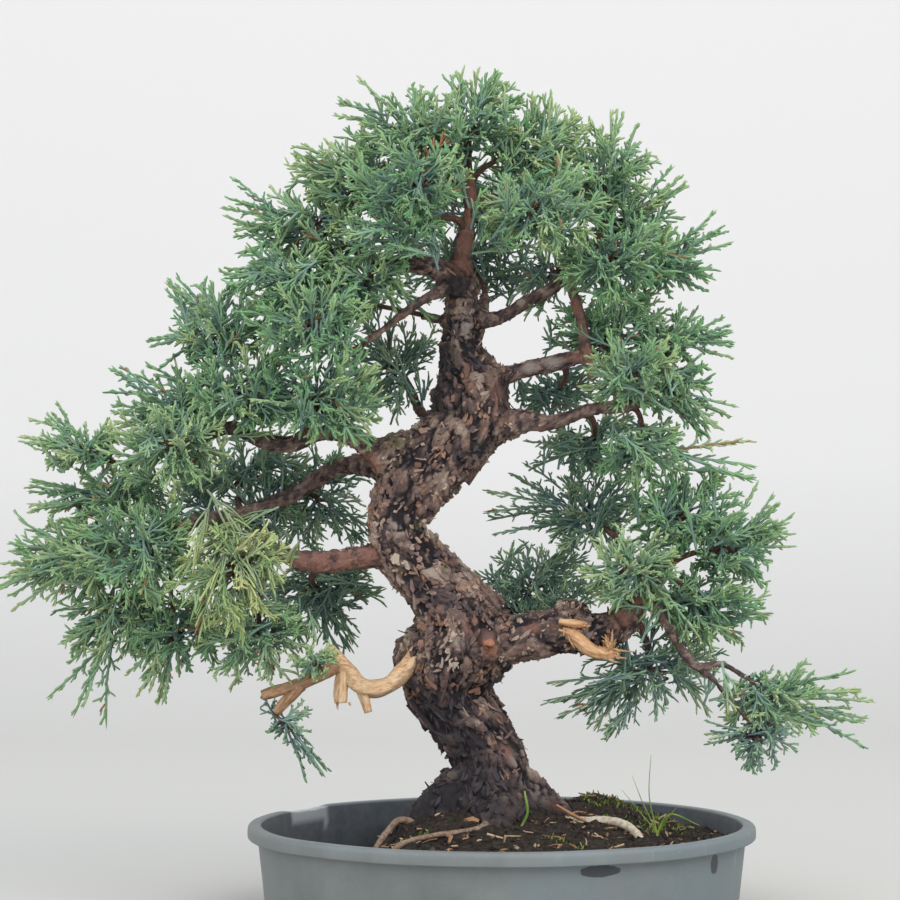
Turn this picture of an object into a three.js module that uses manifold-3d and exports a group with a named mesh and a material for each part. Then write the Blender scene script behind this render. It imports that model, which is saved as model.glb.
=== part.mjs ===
// A chinese juniper bonsai about 38 cm tall in a round, shallow grey pot.
// Millimetres, +Z up. The origin is the middle of the pot's underside, on the surface it stands on.
// The front of the tree, with its bare curved trunk, faces -Y, and the long low branches point to -X.
// The pieces are the pot, the soil, the grown wood, a tuft of grass and one node for each foliage pad.

import * as THREE from "three";
import { mergeVertices } from "three/addons/utils/BufferGeometryUtils.js";
import Module from "manifold-3d";

const wasm = await Module();
wasm.setup();

// Driving dimensions of the pot
const POT_HEIGHT = 47;
const RIM_RADIUS = 130.5;
const LIP_HEIGHT = 7;
const LIP_WIDTH = 5;
const WALL_TOP_RADIUS = 125.6;
const WALL_FOOT_RADIUS = 122.2;
const WALL = 2;
const CORNER_RADIUS = 11;
const DRAIN_HOLE_RADIUS = 5;
const DRAIN_HOLE_COUNT = 4;
const DRAIN_CIRCLE_RADIUS = 70;
const DRAIN_HOLE_SIDES = 8;
const CHIP_ANGLE = 146;
const CHIP_SIZE = 9;
const CHIP_BITES = [[-5, 1.6], [0, 2.4], [5, 1.7]];
const POT_SIDES = 34;
const SOIL_SIDES = 26;

// Driving dimensions of the soil and of what stands in it
const GAP = 0.4;
const SOIL_LEVEL = 37;
const SOIL_LEVEL_LEFT = 14;
const SOIL_MOUND = 24;
const SOIL_MOUND_RADIUS = 50;
const TRUNK_FOOT = [-8, 0];
const SIDE_MOUND = 17;
const SIDE_MOUND_RADIUS = 28;
const SIDE_MOUND_PLACE = [57, 38];
const SOIL_RINGS = [1, 0.8, 0.6, 0.45, 0.3, 0];

// Driving dimensions of the wood
const TRUNK_SIDES = 13;
const ROOT_STEPS = 4;
const TRUNK_STEPS = 34;
const LIMB_SIDES = 6;
const THIN_LIMB_SIDES = 4;
const THICK_LIMB_RADIUS = 6.5;
const TWIG_SIDES = 3;
const TWIG_STEPS = 2;
const SHORT_TWIG = 26;
const TWIG_RADIUS = 2.1;
const TWIG_TIP_RADIUS = 1.2;
const TWIG_BEND = 0.3;
const BARK_MARGIN = 1.12;

// Driving dimensions of the foliage
const SHOOT_RADIUS = 1.4;
const SIDE_SHOOT_RADIUS = 1.1;
const SHOOT_CLEARANCE = 0.4;
const CORE_SHARE = 0.48;
const LEAST_CORE_SHARE = 0.24;
const CORE_DENT = 0.2;
const CORE_STEP = 0.04;
const CORE_FULLNESS = 0.85;
const PLUME_REACH = 1.18;
const PLUME_SPREAD = 0.4;
const PLUME_ROOT_RADIUS = 4.6;
const PLUME_STEPS = 7;
const HUB_SHIFT = 0.22;
const ROOT_SHARE = 0.1;
const JOINT_LENGTH = 2.6;
const JOINT_SHARE = 0.56;
const LEADER_JOINT_SHARE = 0.68;
const LAST_JOINT_SHARE = 0.82;
const SIDE_SHOOT_REACH = 1.08;
const SIDE_SHOOT_FORWARD = 0.75;
const SIDE_SHOOT_OUTWARD = 0.66;
const SPRAY_REACH = 1.1;
const SPRAY_SPACING = 10.5;
const LEAST_SPRAYS = 2;
const GOLDEN_TURN = 2.4;
const MAX_ATTEMPTS = 16;

const seed = { state: 4217 };

// A seeded random number from 0 to 1, the same on every run.
function random() {
  seed.state = (seed.state + 0x6d2b79f5) | 0;
  let t = Math.imul(seed.state ^ (seed.state >>> 15), 1 | seed.state);
  t = (t + Math.imul(t ^ (t >>> 7), 61 | t)) ^ t;
  return ((t ^ (t >>> 14)) >>> 0) / 4294967296;
}

const vector = (x, y, z) => new THREE.Vector3(x, y, z);

function smooth(from, to, value) {
  return THREE.MathUtils.smoothstep(value, from, to);
}

// Booleans: a closed geometry becomes a solid, and a solid becomes a geometry again.
function toSolid(geometry) {
  const bare = geometry.index ? geometry.clone() : geometry;
  bare.deleteAttribute("normal");
  bare.deleteAttribute("uv");
  const merged = mergeVertices(bare, 1e-4);
  const solid = new wasm.Manifold(new wasm.Mesh({
    numProp: 3,
    vertProperties: new Float32Array(merged.attributes.position.array),
    triVerts: new Uint32Array(merged.index.array),
  }));
  return solid;
}

function toGeometry(solid) {
  const mesh = solid.getMesh();
  const geometry = new THREE.BufferGeometry();
  geometry.setAttribute("position", new THREE.BufferAttribute(new Float32Array(mesh.vertProperties), 3));
  geometry.setIndex(new THREE.BufferAttribute(new Uint32Array(mesh.triVerts), 1));
  return geometry;
}

// The largest piece of a solid, so that no loose scrap stays beside it.
function largestBody(solid) {
  const bodies = solid.decompose();
  bodies.sort((a, b) => b.volume() - a.volume());
  return bodies[0];
}

// A closed tube along a smooth curve. Its radius follows the list of points, and relief raises ridges on it.
function tube(points, sides, steps, extra = 0, relief = () => 1) {
  const curve = new THREE.CatmullRomCurve3(points.map((p) => vector(p[0], p[1], p[2])), false, "centripetal");
  const frames = curve.computeFrenetFrames(steps);
  const geometry = new THREE.CylinderGeometry(1, 1, 1, sides, steps);
  const position = geometry.attributes.position;
  for (let i = 0; i < position.count; i++) {
    const t = THREE.MathUtils.clamp(0.5 + position.getY(i), 0, 1);
    const step = Math.round(t * steps);
    const centre = curve.getPointAt(t);
    const radius = radiusAt(points, curve, t) + extra;
    const angle = Math.atan2(position.getZ(i), position.getX(i));
    const reach = Math.hypot(position.getX(i), position.getZ(i)) * radius * relief(angle, centre);
    centre.addScaledVector(frames.normals[step], Math.cos(angle) * reach);
    centre.addScaledVector(frames.binormals[step], -Math.sin(angle) * reach);
    centre.addScaledVector(frames.tangents[step], extra * Math.sign(t - 0.5) * (t === 0 || t === 1 ? 1 : 0));
    position.setXYZ(i, centre.x, centre.y, centre.z);
  }
  return toSolid(geometry);
}

// The radius at a share t of the curve's length, between the two listed points around it.
function radiusAt(points, curve, t) {
  const place = curve.getUtoTmapping(t) * (points.length - 1);
  const index = Math.min(Math.floor(place), points.length - 2);
  return THREE.MathUtils.lerp(points[index][3], points[index + 1][3], place - index);
}

// The corners of a three-sided stem at one place along it.
function stemRing(centre, across, over, radius) {
  return [0, 1, 2].map((k) => {
    const angle = (k / 3) * 2 * Math.PI;
    return centre.clone()
      .addScaledVector(across, radius * Math.cos(angle))
      .addScaledVector(over, radius * Math.sin(angle));
  });
}

// A closed geometry from a flat list of corners, three for each triangle.
function fromCorners(corners) {
  return new THREE.BufferGeometry().setFromPoints(corners);
}

// Pot: a thin round pan with a flat floor, a rounded bottom corner and a turned-down lip.
function makePot() {
  const inner = WALL_TOP_RADIUS - WALL;
  const floorRadius = WALL_FOOT_RADIUS - CORNER_RADIUS;
  const profile = [
    [0, 0],
    [floorRadius, 0],
    [floorRadius + CORNER_RADIUS * 0.7, CORNER_RADIUS * 0.28],
    [WALL_FOOT_RADIUS, CORNER_RADIUS],
    [WALL_TOP_RADIUS, POT_HEIGHT - WALL],
    [RIM_RADIUS - WALL, POT_HEIGHT - WALL],
    [RIM_RADIUS - WALL, POT_HEIGHT - LIP_HEIGHT],
    [RIM_RADIUS, POT_HEIGHT - LIP_HEIGHT],
    [RIM_RADIUS, POT_HEIGHT - WALL],
    [RIM_RADIUS - LIP_WIDTH * 0.3, POT_HEIGHT],
    [inner, POT_HEIGHT],
    [WALL_FOOT_RADIUS - WALL, CORNER_RADIUS],
    [floorRadius - WALL, WALL],
    [0, WALL],
  ];
  const points = profile.map(([r, z]) => new THREE.Vector2(r, z));
  const lathe = new THREE.LatheGeometry(points, POT_SIDES);
  lathe.rotateX(Math.PI / 2);
  let pot = toSolid(lathe);
  for (let i = 0; i < DRAIN_HOLE_COUNT; i++) {
    const angle = (i / DRAIN_HOLE_COUNT) * 2 * Math.PI;
    const radius = DRAIN_HOLE_RADIUS;
    const hole = new THREE.CylinderGeometry(radius, radius, CORNER_RADIUS, DRAIN_HOLE_SIDES);
    hole.rotateX(Math.PI / 2);
    hole.translate(DRAIN_CIRCLE_RADIUS * Math.cos(angle), DRAIN_CIRCLE_RADIUS * Math.sin(angle), 0);
    pot = pot.subtract(toSolid(hole));
  }
  // The rim has a shallow broken chip at the back on the left.
  for (const [turn, depth] of CHIP_BITES) {
    const angle = THREE.MathUtils.degToRad(CHIP_ANGLE + turn);
    const chip = new THREE.IcosahedronGeometry(1, 0);
    chip.scale(CHIP_SIZE, CHIP_SIZE, depth);
    chip.translate(RIM_RADIUS * Math.cos(angle), RIM_RADIUS * Math.sin(angle), POT_HEIGHT);
    pot = pot.subtract(toSolid(chip));
  }
  return largestBody(pot);
}

// The height of the soil: lower on the left, level on the right, with a mound round the trunk's foot and a
// smaller one behind the root on the right.
function soilHeight(x, y) {
  const level = THREE.MathUtils.lerp(SOIL_LEVEL_LEFT, SOIL_LEVEL, smooth(-82, -46, x));
  const mound = (height, radius, place) => {
    const distance = Math.hypot(x - place[0], y - place[1]);
    return height * Math.exp(-((distance / radius) ** 2));
  };
  const main = mound(SOIL_MOUND, SOIL_MOUND_RADIUS, TRUNK_FOOT);
  const side = mound(SIDE_MOUND, SIDE_MOUND_RADIUS, SIDE_MOUND_PLACE);
  const lumps = 1.2 * Math.sin(x / 9 + 1) * Math.cos(y / 11) + 0.8 * Math.sin((x + y) / 6);
  return level + main + side + lumps;
}

// The pot's inner radius at a height, on its sloping wall.
function potInnerRadius(z) {
  const share = (z - CORNER_RADIUS) / (POT_HEIGHT - CORNER_RADIUS);
  return THREE.MathUtils.lerp(WALL_FOOT_RADIUS - WALL, WALL_TOP_RADIUS - WALL, share);
}

// Soil: fills the pot to an uneven surface, with a plain hole for each stem and root that stands in it.
function makeSoil(holes) {
  const bottom = WALL + GAP;
  const top = POT_HEIGHT + SOIL_MOUND;
  const rim = potInnerRadius(SOIL_LEVEL) - 2 * GAP;
  const profile = [[0, bottom], [WALL_FOOT_RADIUS - WALL - CORNER_RADIUS - 2 * GAP, bottom]];
  profile.push([potInnerRadius(CORNER_RADIUS) - 2 * GAP, CORNER_RADIUS + GAP]);
  for (const share of SOIL_RINGS) profile.push([share * rim, top]);
  const lathe = new THREE.LatheGeometry(profile.map(([r, z]) => new THREE.Vector2(r, z)), SOIL_SIDES);
  lathe.rotateX(Math.PI / 2);
  const position = lathe.attributes.position;
  for (let i = 0; i < position.count; i++) {
    if (position.getZ(i) < top - 1) continue;
    const height = Math.max(soilHeight(position.getX(i), position.getY(i)), CORNER_RADIUS + 1);
    const radius = Math.hypot(position.getX(i), position.getY(i));
    const fit = radius > rim - 0.01 ? (potInnerRadius(height) - 2 * GAP) / rim : 1;
    position.setXYZ(i, position.getX(i) * fit, position.getY(i) * fit, height);
  }
  let soil = toSolid(lathe);
  for (const hole of holes) soil = soil.subtract(hole);
  return largestBody(soil);
}

// The trunk's middle line from its foot to its broken tip: x, y, z and radius.
const lowerTrunk = [
  [-8, 0, 40, 36], [-7, 0, 56, 32], [-5.5, 0, 66, 25], [-4.5, 0, 76, 20], [-8, 0, 86, 18],
  [-15.5, 0, 96, 19.5], [-23, 1, 106, 20], [-29, 1, 116, 21], [-28, 0, 127, 26.5], [-22.5, -1, 139, 27.5],
  [-23, -2, 151, 23],
];
const upperTrunk = [
  [-30.5, -3, 163, 18.5], [-38.5, -4, 173, 16.5], [-47, -5, 183, 16], [-53, -6, 193, 15.4],
  [-53.5, -6, 204, 15.6], [-48, -4, 216, 17.5], [-39, -2, 228, 19.5],
  [-27.5, 0, 240, 20], [-17, 1, 251, 18.5], [-15, 2, 262, 20], [-15, 3, 273, 19], [-18.3, 3, 283, 14.8],
  [-20.5, 4, 292, 11.4], [-20, 4, 304, 10], [-20, 4, 317, 8.4], [-20.5, 4, 327, 7.6], [-21, 3, 336, 6],
  [-19, 2, 347, 4.6], [-16.5, 0, 359, 3.8], [-16, -1, 370, 3.4], [-16.5, -2, 381, 2.9],
];

// The limbs, each from inside what it grows from to its end: x, y, z and radius.
const limbs = {
  crown_right: [[-16, 4, 306, 7], [-6, 8, 306, 4.6], [3, 11, 309, 3.8], [14, 14, 316, 3.6],
    [26, 15, 322, 3.4], [44, 10, 338, 3], [55, 2, 358, 2.6]],
  stub_right: [[33, 2, 338, 2.2], [35, 0, 326, 2.9], [39, -4, 312, 3.2], [42, -6, 300, 3.3],
    [44, -7, 288, 3.6], [47, -8, 274, 2.3]],
  cut_knot: [[-16, -14, 134, 10], [-8, -25, 137, 7.5], [-4, -30, 138, 5]],
  limb_knob: [[34, -9, 148, 9], [36, -9, 156, 9], [37, -9, 162, 6]],
  right_upper: [[-10, 2, 272, 10], [-1, 0, 276, 6], [7, -1, 278.5, 4.4], [17, -3, 281, 4.8],
    [31, -5, 284, 4.6], [40, -6, 286.5, 3.8], [47, -6, 288, 3.2]],
  right_middle: [[-12, 0, 248, 13], [3, -3, 252, 8.6], [11, -5, 253.5, 6.4], [25, -8, 252.5, 4.2],
    [40, -10, 257.5, 3.7], [50, -11, 260, 3.6], [68, -12, 262, 3.4], [80, -8, 274, 2.8]],
  right_lower: [[-20, -2, 138, 21], [-3, -4, 141, 17.5], [8, -6, 142.5, 13], [20, -8, 144.5, 12.2],
    [32, -9, 145, 12], [44, -9, 144.5, 11.2], [57, -8, 147, 9.6], [66, -7, 155, 7.4], [73, -6, 165, 5],
    [81, -5, 174, 3.8], [88, -4, 182, 3.2]],
  right_thin: [[66, -8, 158, 5], [73, -11, 164, 3.4], [80, -15, 156, 3.1], [87, -18, 145, 2.9],
    [94, -20, 133, 2.8], [100, -21, 128, 2.6], [110, -21, 130, 2.1], [124, -20, 123, 1.7]],
  right_fork: [[98, -21, 129, 2.2], [106, -22, 123, 1.9], [112, -23, 116, 1.8], [118, -24, 109, 1.6]],
  left_shoulder: [[-30, -2, 240, 11.5], [-44, -6, 240, 9.6], [-57, -9, 238, 8.8], [-68, -11, 231, 7.4]],
  left_upper: [[-58, -8, 233, 8], [-69, -11, 240, 5.6], [-78, -13, 246, 4.8], [-92, -15, 247.5, 4.6],
    [-107, -17, 242, 4.6], [-122, -18, 243, 4.2], [-138, -18, 250, 3.8], [-165, -14, 240, 3.2],
    [-192, -8, 232, 2.6]],
  left_back: [[-56, -4, 228, 9], [-70, 4, 231, 6.2], [-82, 12, 230, 4.8], [-92, 16, 226, 4.6],
    [-102, 18, 219, 4.4], [-114, 18, 213, 4.2], [-134, 8, 206, 3.8], [-158, -2, 202, 3.4],
    [-184, -8, 192, 2.8]],
  left_red: [[-50, -6, 187, 10], [-62, -9, 185, 7], [-78, -13, 183, 6.2], [-94, -17, 181.2, 6],
    [-105, -20, 183, 5.2], [-117, -22, 189, 3.4]],
  upper_left: [[-20, 2, 322, 8], [-34, -4, 332, 5.6], [-48, -8, 334, 4.6], [-62, -10, 334, 3.8],
    [-78, -10, 344, 3.2]],
  brown_twig: [[-26, -2, 324, 4], [-39, -10, 316, 2.8], [-48, -12, 310, 2.5], [-57, -14, 303, 2.3],
    [-73, -16, 291, 2.1]],
  dark_twig: [[-19, 6, 308, 4.5], [-30, 10, 306, 3], [-42, 14, 309, 2.6]],
  jin_left: [[-34, -8, 138, 9], [-48, -16, 128, 4.9], [-58, -18, 119, 4.5], [-66, -19, 117, 4.4],
    [-73, -19, 119, 4.4], [-79, -19, 126, 4], [-84, -19, 132, 3.6], [-89, -19, 138, 2.8]],
  jin_stub_long: [[-80, -19, 127, 3.4], [-82, -20, 118, 3.4], [-82, -20, 110, 3]],
  jin_stub_short: [[-72, -19, 119, 3.2], [-70, -19, 112, 2.5], [-68, -19, 105, 1.8]],
  jin_twig: [[-82, -19, 130, 3.6], [-95, -22, 123, 3], [-104, -23, 119.5, 3.1], [-112, -23, 117, 3.1],
    [-122, -23, 114, 2.5]],
  jin_fork: [[-102, -23, 119, 3], [-109, -23, 112, 2.7], [-115, -23, 105, 2.1]],
  jin_right: [[33, -18, 147, 3.4], [40, -21, 141, 3.3], [47, -21, 136, 3.2], [57, -19, 135, 2.4]],
  back_low: [[-14, 8, 140, 13], [-8, 30, 146, 6], [0, 46, 150, 4.6], [10, 54, 156, 3.4]],
  back_middle: [[-30, 6, 240, 9], [-36, 24, 250, 3.6], [-44, 36, 263, 3], [-51, 44, 277, 2.6]],
  back_high: [[-18, 6, 290, 8], [-14, 22, 298, 5], [-10, 36, 308, 4], [-8, 46, 320, 3.2]],
};

// Roots: the two thick ones are the spread of the trunk's foot, and the thin ones leave it under the soil and
// come out of it in a low arch.
const roots = {
  foot_left: [[-8, -4, 75, 11], [-18, -6, 66, 11], [-29, -8, 57.5, 12], [-38, -10, 47, 12],
    [-42, -11, 36, 11]],
  foot_right: [[2, 3, 71, 12], [13, 4, 61, 11.5], [22, 5, 53, 11], [29, 6, 44, 10], [31, 6, 36, 9]],
  root_left: [[-42, -12, 45, 4], [-52, -22, 50.5, 1.8], [-58, -32, 46, 1.6], [-64, -42, 38, 1.5],
    [-67, -48, 27, 1.4]],
  root_right: [[24, 0, 47, 5], [42, 2, 47, 2.6], [54, 2, 47.5, 2.4], [63, -3, 46, 2.3], [70, -10, 41, 2.1],
    [74, -19, 29, 1.8]],
  root_low: [[-4, -24, 52, 4], [-12, -42, 48.4, 1.7], [-37, -50, 45.5, 1.4], [-52, -56, 41.5, 1.4],
    [-60, -60, 32, 1.4]],
};

// Ridges along the grain: the trunk's bark twists a little as it rises, and its foot spreads into root lobes.
function barkRidges(angle, centre) {
  const twist = angle + centre.z / 55;
  const lobes = 0.12 * smooth(95, 56, centre.z) * Math.sin(4 * angle + 0.7);
  const grain = 0.055 * Math.sin(5 * twist) + 0.035 * Math.sin(3 * twist + centre.z / 17);
  return 1 + lobes + grain + 0.03 * Math.sin(centre.z / 5);
}

function makeTrunk(extra) {
  return tube([...lowerTrunk, ...upperTrunk], TRUNK_SIDES, TRUNK_STEPS, extra, barkRidges);
}

function makeRoot(points, extra) {
  return tube(points, THIN_LIMB_SIDES, ROOT_STEPS, extra);
}

// A twig that leaves a limb at a share of its length and bends up to the foot of a foliage pad.
function twigPoints(limb, share, end) {
  const curve = new THREE.CatmullRomCurve3(limb.map((p) => vector(p[0], p[1], p[2])), false, "centripetal");
  const start = curve.getPointAt(share);
  const along = curve.getTangentAt(share);
  const reach = start.distanceTo(end);
  const bend = start.clone().addScaledVector(along, TWIG_BEND * reach).lerp(end, 0.25);
  const limbRadius = radiusAt(limb, curve, share);
  const startRadius = Math.min(TWIG_RADIUS + reach / 60, 0.8 * limbRadius);
  return [
    [...start.toArray(), startRadius],
    [...start.clone().lerp(bend, 0.6).toArray(), startRadius * 0.9],
    [...bend.clone().lerp(end, 0.4).toArray(), (startRadius + TWIG_TIP_RADIUS) / 2],
    [...end.toArray(), TWIG_TIP_RADIUS],
  ];
}

// The foliage pads: name, colour, middle, half sizes, the limb each grows from and where along it.
const pads = [
  ["crown_left", "green", [-50, -4, 404], [31, 29, 19], "trunk", 1],
  ["crown_middle", "green", [-16, -14, 406], [30, 28, 20], "trunk", 1],
  ["crown_right", "green", [21, -6, 394], [30, 29, 20], "trunk", 0.97],
  ["crown_far_right", "green", [51, 2, 382], [27, 29, 22], "crown_right", 1],
  ["crown_shoulder", "green", [-80, -2, 378], [29, 29, 21], "trunk", 0.95],
  ["crown_lower_left", "green", [-102, -2, 355], [29, 29, 20], "upper_left", 1],
  ["crown_front_left", "green", [-48, -42, 374], [31, 26, 24], "trunk", 0.92],
  ["crown_edge_right", "green", [68, 10, 359], [22, 26, 20], "crown_right", 0.9],
  ["crown_front_right", "green", [20, -46, 360], [33, 28, 25], "trunk", 0.9],
  ["crown_low_right", "green", [56, -38, 334], [32, 28, 23], "crown_right", 0.7],
  ["crown_low_left", "green", [-58, -38, 350], [29, 24, 18], "trunk", 0.87],
  ["crown_tip_right", "green", [86, -4, 336], [21, 25, 17], "crown_right", 0.8],
  ["crown_back_left", "dark", [-50, 52, 380], [34, 30, 26], "trunk", 0.93],
  ["crown_back_right", "dark", [11, 54, 374], [38, 30, 26], "trunk", 0.89],
  ["crown_back_low", "dark", [-16, 74, 340], [36, 26, 24], "back_high", 1],
  ["left_back_high", "dark", [-102, 44, 320], [36, 30, 26], "dark_twig", 1],
  ["left_high_outer", "green", [-112, -20, 326], [31, 28, 20], "upper_left", 0.9],
  ["left_high_tip", "green", [-145, -4, 304], [28, 28, 23], "left_upper", 0.62],
  ["left_high_front", "green", [-98, -48, 303], [32, 26, 23], "brown_twig", 1],
  ["left_high_inner", "green", [-70, -26, 323], [25, 22, 19], "upper_left", 0.7],
  ["left_middle_front", "green", [-92, -44, 267], [37, 26, 24], "left_upper", 0.3],
  ["left_middle_outer", "green", [-131, -30, 271], [32, 28, 23], "left_upper", 0.52],
  ["left_middle_back", "dark", [-62, 48, 285], [26, 24, 27], "back_middle", 1],
  ["left_middle_tip", "green", [-167, 0, 264], [25, 28, 20], "left_upper", 0.72],
  ["left_low_front", "green", [-168, -42, 240], [33, 26, 24], "left_upper", 0.76],
  ["left_low_tip", "green", [-217, -8, 240], [22, 20, 13], "left_upper", 1],
  ["left_low_outer", "green", [-203, 14, 213], [31, 28, 17], "left_upper", 0.93],
  ["left_low_back", "dark", [-137, 44, 226], [43, 30, 22], "left_back", 0.6],
  ["left_low_under", "dark", [-139, 38, 203], [38, 22, 17], "left_back", 0.52],
  ["left_skirt_tip", "green", [-218, -8, 183], [30, 28, 24], "left_back", 1],
  ["left_skirt_front", "green", [-185, -38, 187], [34, 26, 28], "left_back", 0.9],
  ["left_skirt_lower", "green", [-198, 4, 150], [30, 28, 21], "left_back", 0.93],
  ["left_skirt_bottom", "green", [-168, -8, 141], [29, 26, 20], "left_back", 0.8],
  ["left_skirt_young", "young", [-137, -54, 175], [30, 22, 30], "left_red", 1],
  ["left_skirt_under", "green", [-125, -26, 139], [31, 26, 21], "left_red", 0.9],
  ["left_twig_hanging", "dark", [-108, -24, 99], [11, 11, 11], "jin_fork", 1],
  ["left_skirt_back", "dark", [-99, 54, 164], [30, 28, 27], "left_red", 0.45],
  ["left_skirt_back_high", "dark", [-99, 54, 212], [28, 24, 29], "left_back", 0.3],
  ["left_twig_tuft", "green", [-96, -38, 132], [13, 10, 10], "jin_twig", 0.3],
  ["right_high", "green", [58, 14, 303], [32, 30, 22], "right_upper", 1],
  ["right_high_tip", "green", [86, -2, 297], [18, 26, 16], "right_middle", 1],
  ["right_high_front", "green", [64, -40, 278], [26, 24, 21], "right_middle", 0.85],
  ["right_middle_tip", "green", [90, -10, 270], [19, 25, 15], "right_middle", 0.95],
  ["right_middle_back", "dark", [30, 50, 268], [24, 22, 14], "right_upper", 0.6],
  ["right_low_back", "dark", [50, 40, 240], [34, 28, 20], "right_middle", 0.5],
  ["right_low", "green", [73, -18, 236], [24, 26, 17], "right_middle", 0.8],
  ["crown_under_right", "dark", [31, 44, 334], [26, 22, 17], "crown_right", 0.4],
  ["right_skirt_back_high", "dark", [44, 44, 208], [29, 26, 24], "right_lower", 0.75],
  ["right_skirt_high", "green", [93, -6, 209], [29, 30, 21], "right_lower", 1],
  ["right_skirt_tip", "green", [121, 0, 189], [22, 25, 21], "right_lower", 0.97],
  ["right_skirt_low", "green", [108, 0, 157], [31, 29, 24], "right_lower", 0.9],
  ["right_skirt_back", "dark", [22, 52, 169], [33, 26, 22], "back_low", 1],
  ["right_skirt_front", "green", [64, -32, 178], [27, 24, 23], "right_lower", 0.93],
  ["right_skirt_under", "dark", [80, 12, 121], [36, 29, 23], "right_lower", 0.7],
  ["right_end", "green", [139, -16, 108], [26, 26, 21], "right_thin", 1],
  ["right_end_hanging", "dark", [132, -30, 93], [17, 15, 14], "right_fork", 1],
];

// Long single shoots that reach past their pad: pad name and the tip of each.
const leaders = {
  crown_left: [[-83, -8, 421]],
  crown_middle: [[-22, -12, 432], [-1, -14, 430]],
  crown_right: [[22, -8, 421]],
  crown_far_right: [[64, -2, 413]],
  crown_shoulder: [[-107, -6, 391]],
  crown_lower_left: [[-144, -8, 366], [-138, -4, 347]],
  crown_edge_right: [[94, 4, 381]],
  crown_tip_right: [[116, -10, 353], [108, -8, 326]],
  left_high_tip: [[-171, -6, 327], [-181, -8, 290]],
  left_middle_front: [[-66, -52, 244]],
  left_middle_tip: [[-203, -2, 279], [-200, -6, 256]],
  left_low_tip: [[-248, -8, 247], [-232, -8, 259]],
  left_low_outer: [[-246, 8, 218], [-245, 6, 206]],
  left_skirt_tip: [[-257, -10, 171], [-258, -6, 166], [-250, -8, 190]],
  left_skirt_lower: [[-221, -6, 101], [-224, 0, 136]],
  left_skirt_bottom: [[-178, -8, 108], [-186, -4, 118]],
  left_twig_hanging: [[-91, -24, 73], [-99, -22, 84]],
  left_skirt_back: [[-62, 42, 166], [-80, 40, 134]],
  right_high_tip: [[119, -4, 301], [120, -2, 294]],
  right_middle_tip: [[118, -8, 254], [106, -10, 246]],
  right_low: [[131, -20, 232]],
  right_skirt_back_high: [[-10, 34, 206], [6, 32, 228]],
  right_skirt_tip: [[149, -2, 197], [142, -4, 216]],
  right_skirt_under: [[22, 6, 104], [40, 12, 103], [52, 10, 92]],
  right_end: [[188, -16, 102], [183, -14, 115]],
  right_end_hanging: [[102, -28, 94], [126, -30, 76]],
  left_skirt_back_high: [[-70, 42, 192]],
};

const padColours = { green: 0x4f7f4b, dark: 0x2f4f45, young: 0x7f9a4e };

// Everything that a new shoot has to stay clear of: straight runs with a radius.
const runs = [];

function addRun(owner, from, to, radius) {
  const box = new THREE.Box3().setFromPoints([from, to]).expandByScalar(radius + SHOOT_CLEARANCE);
  runs.push({ owner, from, to, radius, box });
}

function addTube(owner, points) {
  const curve = new THREE.CatmullRomCurve3(points.map((p) => vector(p[0], p[1], p[2])), false, "centripetal");
  const pieces = 3 * points.length;
  for (let i = 0; i < pieces; i++) {
    const radius = radiusAt(points, curve, (i + 0.5) / pieces);
    addRun(owner, curve.getPointAt(i / pieces), curve.getPointAt((i + 1) / pieces), BARK_MARGIN * radius);
  }
}

// The least distance between two straight runs.
function runDistance(a0, a1, b0, b1) {
  const [u, v, w] = [a1.clone().sub(a0), b1.clone().sub(b0), a0.clone().sub(b0)];
  const [a, b, c, d, e] = [u.dot(u), u.dot(v), v.dot(v), u.dot(w), v.dot(w)];
  const clamp = (value) => THREE.MathUtils.clamp(value, 0, 1);
  const spread = a * c - b * b;
  let s = spread > 1e-6 ? clamp((b * e - c * d) / spread) : 0;
  const t = clamp((b * s + e) / c);
  s = clamp((b * t - d) / a);
  return w.addScaledVector(u, s).addScaledVector(v, -t).length();
}

// A shoot is free when it touches nothing of another node.
function isFree(owner, from, to, radius) {
  const box = new THREE.Box3().setFromPoints([from, to]).expandByScalar(radius);
  for (const run of runs) {
    if (run.owner === owner || !run.box.intersectsBox(box)) continue;
    if (runDistance(from, to, run.from, run.to) < radius + run.radius + SHOOT_CLEARANCE) return false;
  }
  return true;
}

// A pad is laid out first: its hub, the way from the limb to it, and the twig that carries it.
function layOutPad([name, colour, middle, size, limbName, share]) {
  const centre = vector(...middle);
  const half = vector(...size);
  const limb = limbName === "trunk" ? upperTrunk : limbs[limbName];
  const curve = new THREE.CatmullRomCurve3(limb.map((p) => vector(p[0], p[1], p[2])), false, "centripetal");
  const away = centre.clone().sub(curve.getPointAt(share)).normalize();
  const hub = centre.clone().addScaledVector(away.clone().multiply(half), -HUB_SHIFT);
  return { name, colour, centre, half, hub, away, limb, share, twig: twigPoints(limb, share, hub) };
}

// The distance from the middle of a core to its surface along a direction.
function coreReach(core, direction) {
  return 1 / Math.hypot(direction.x / core.x, direction.y / core.y, direction.z / core.z);
}

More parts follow.
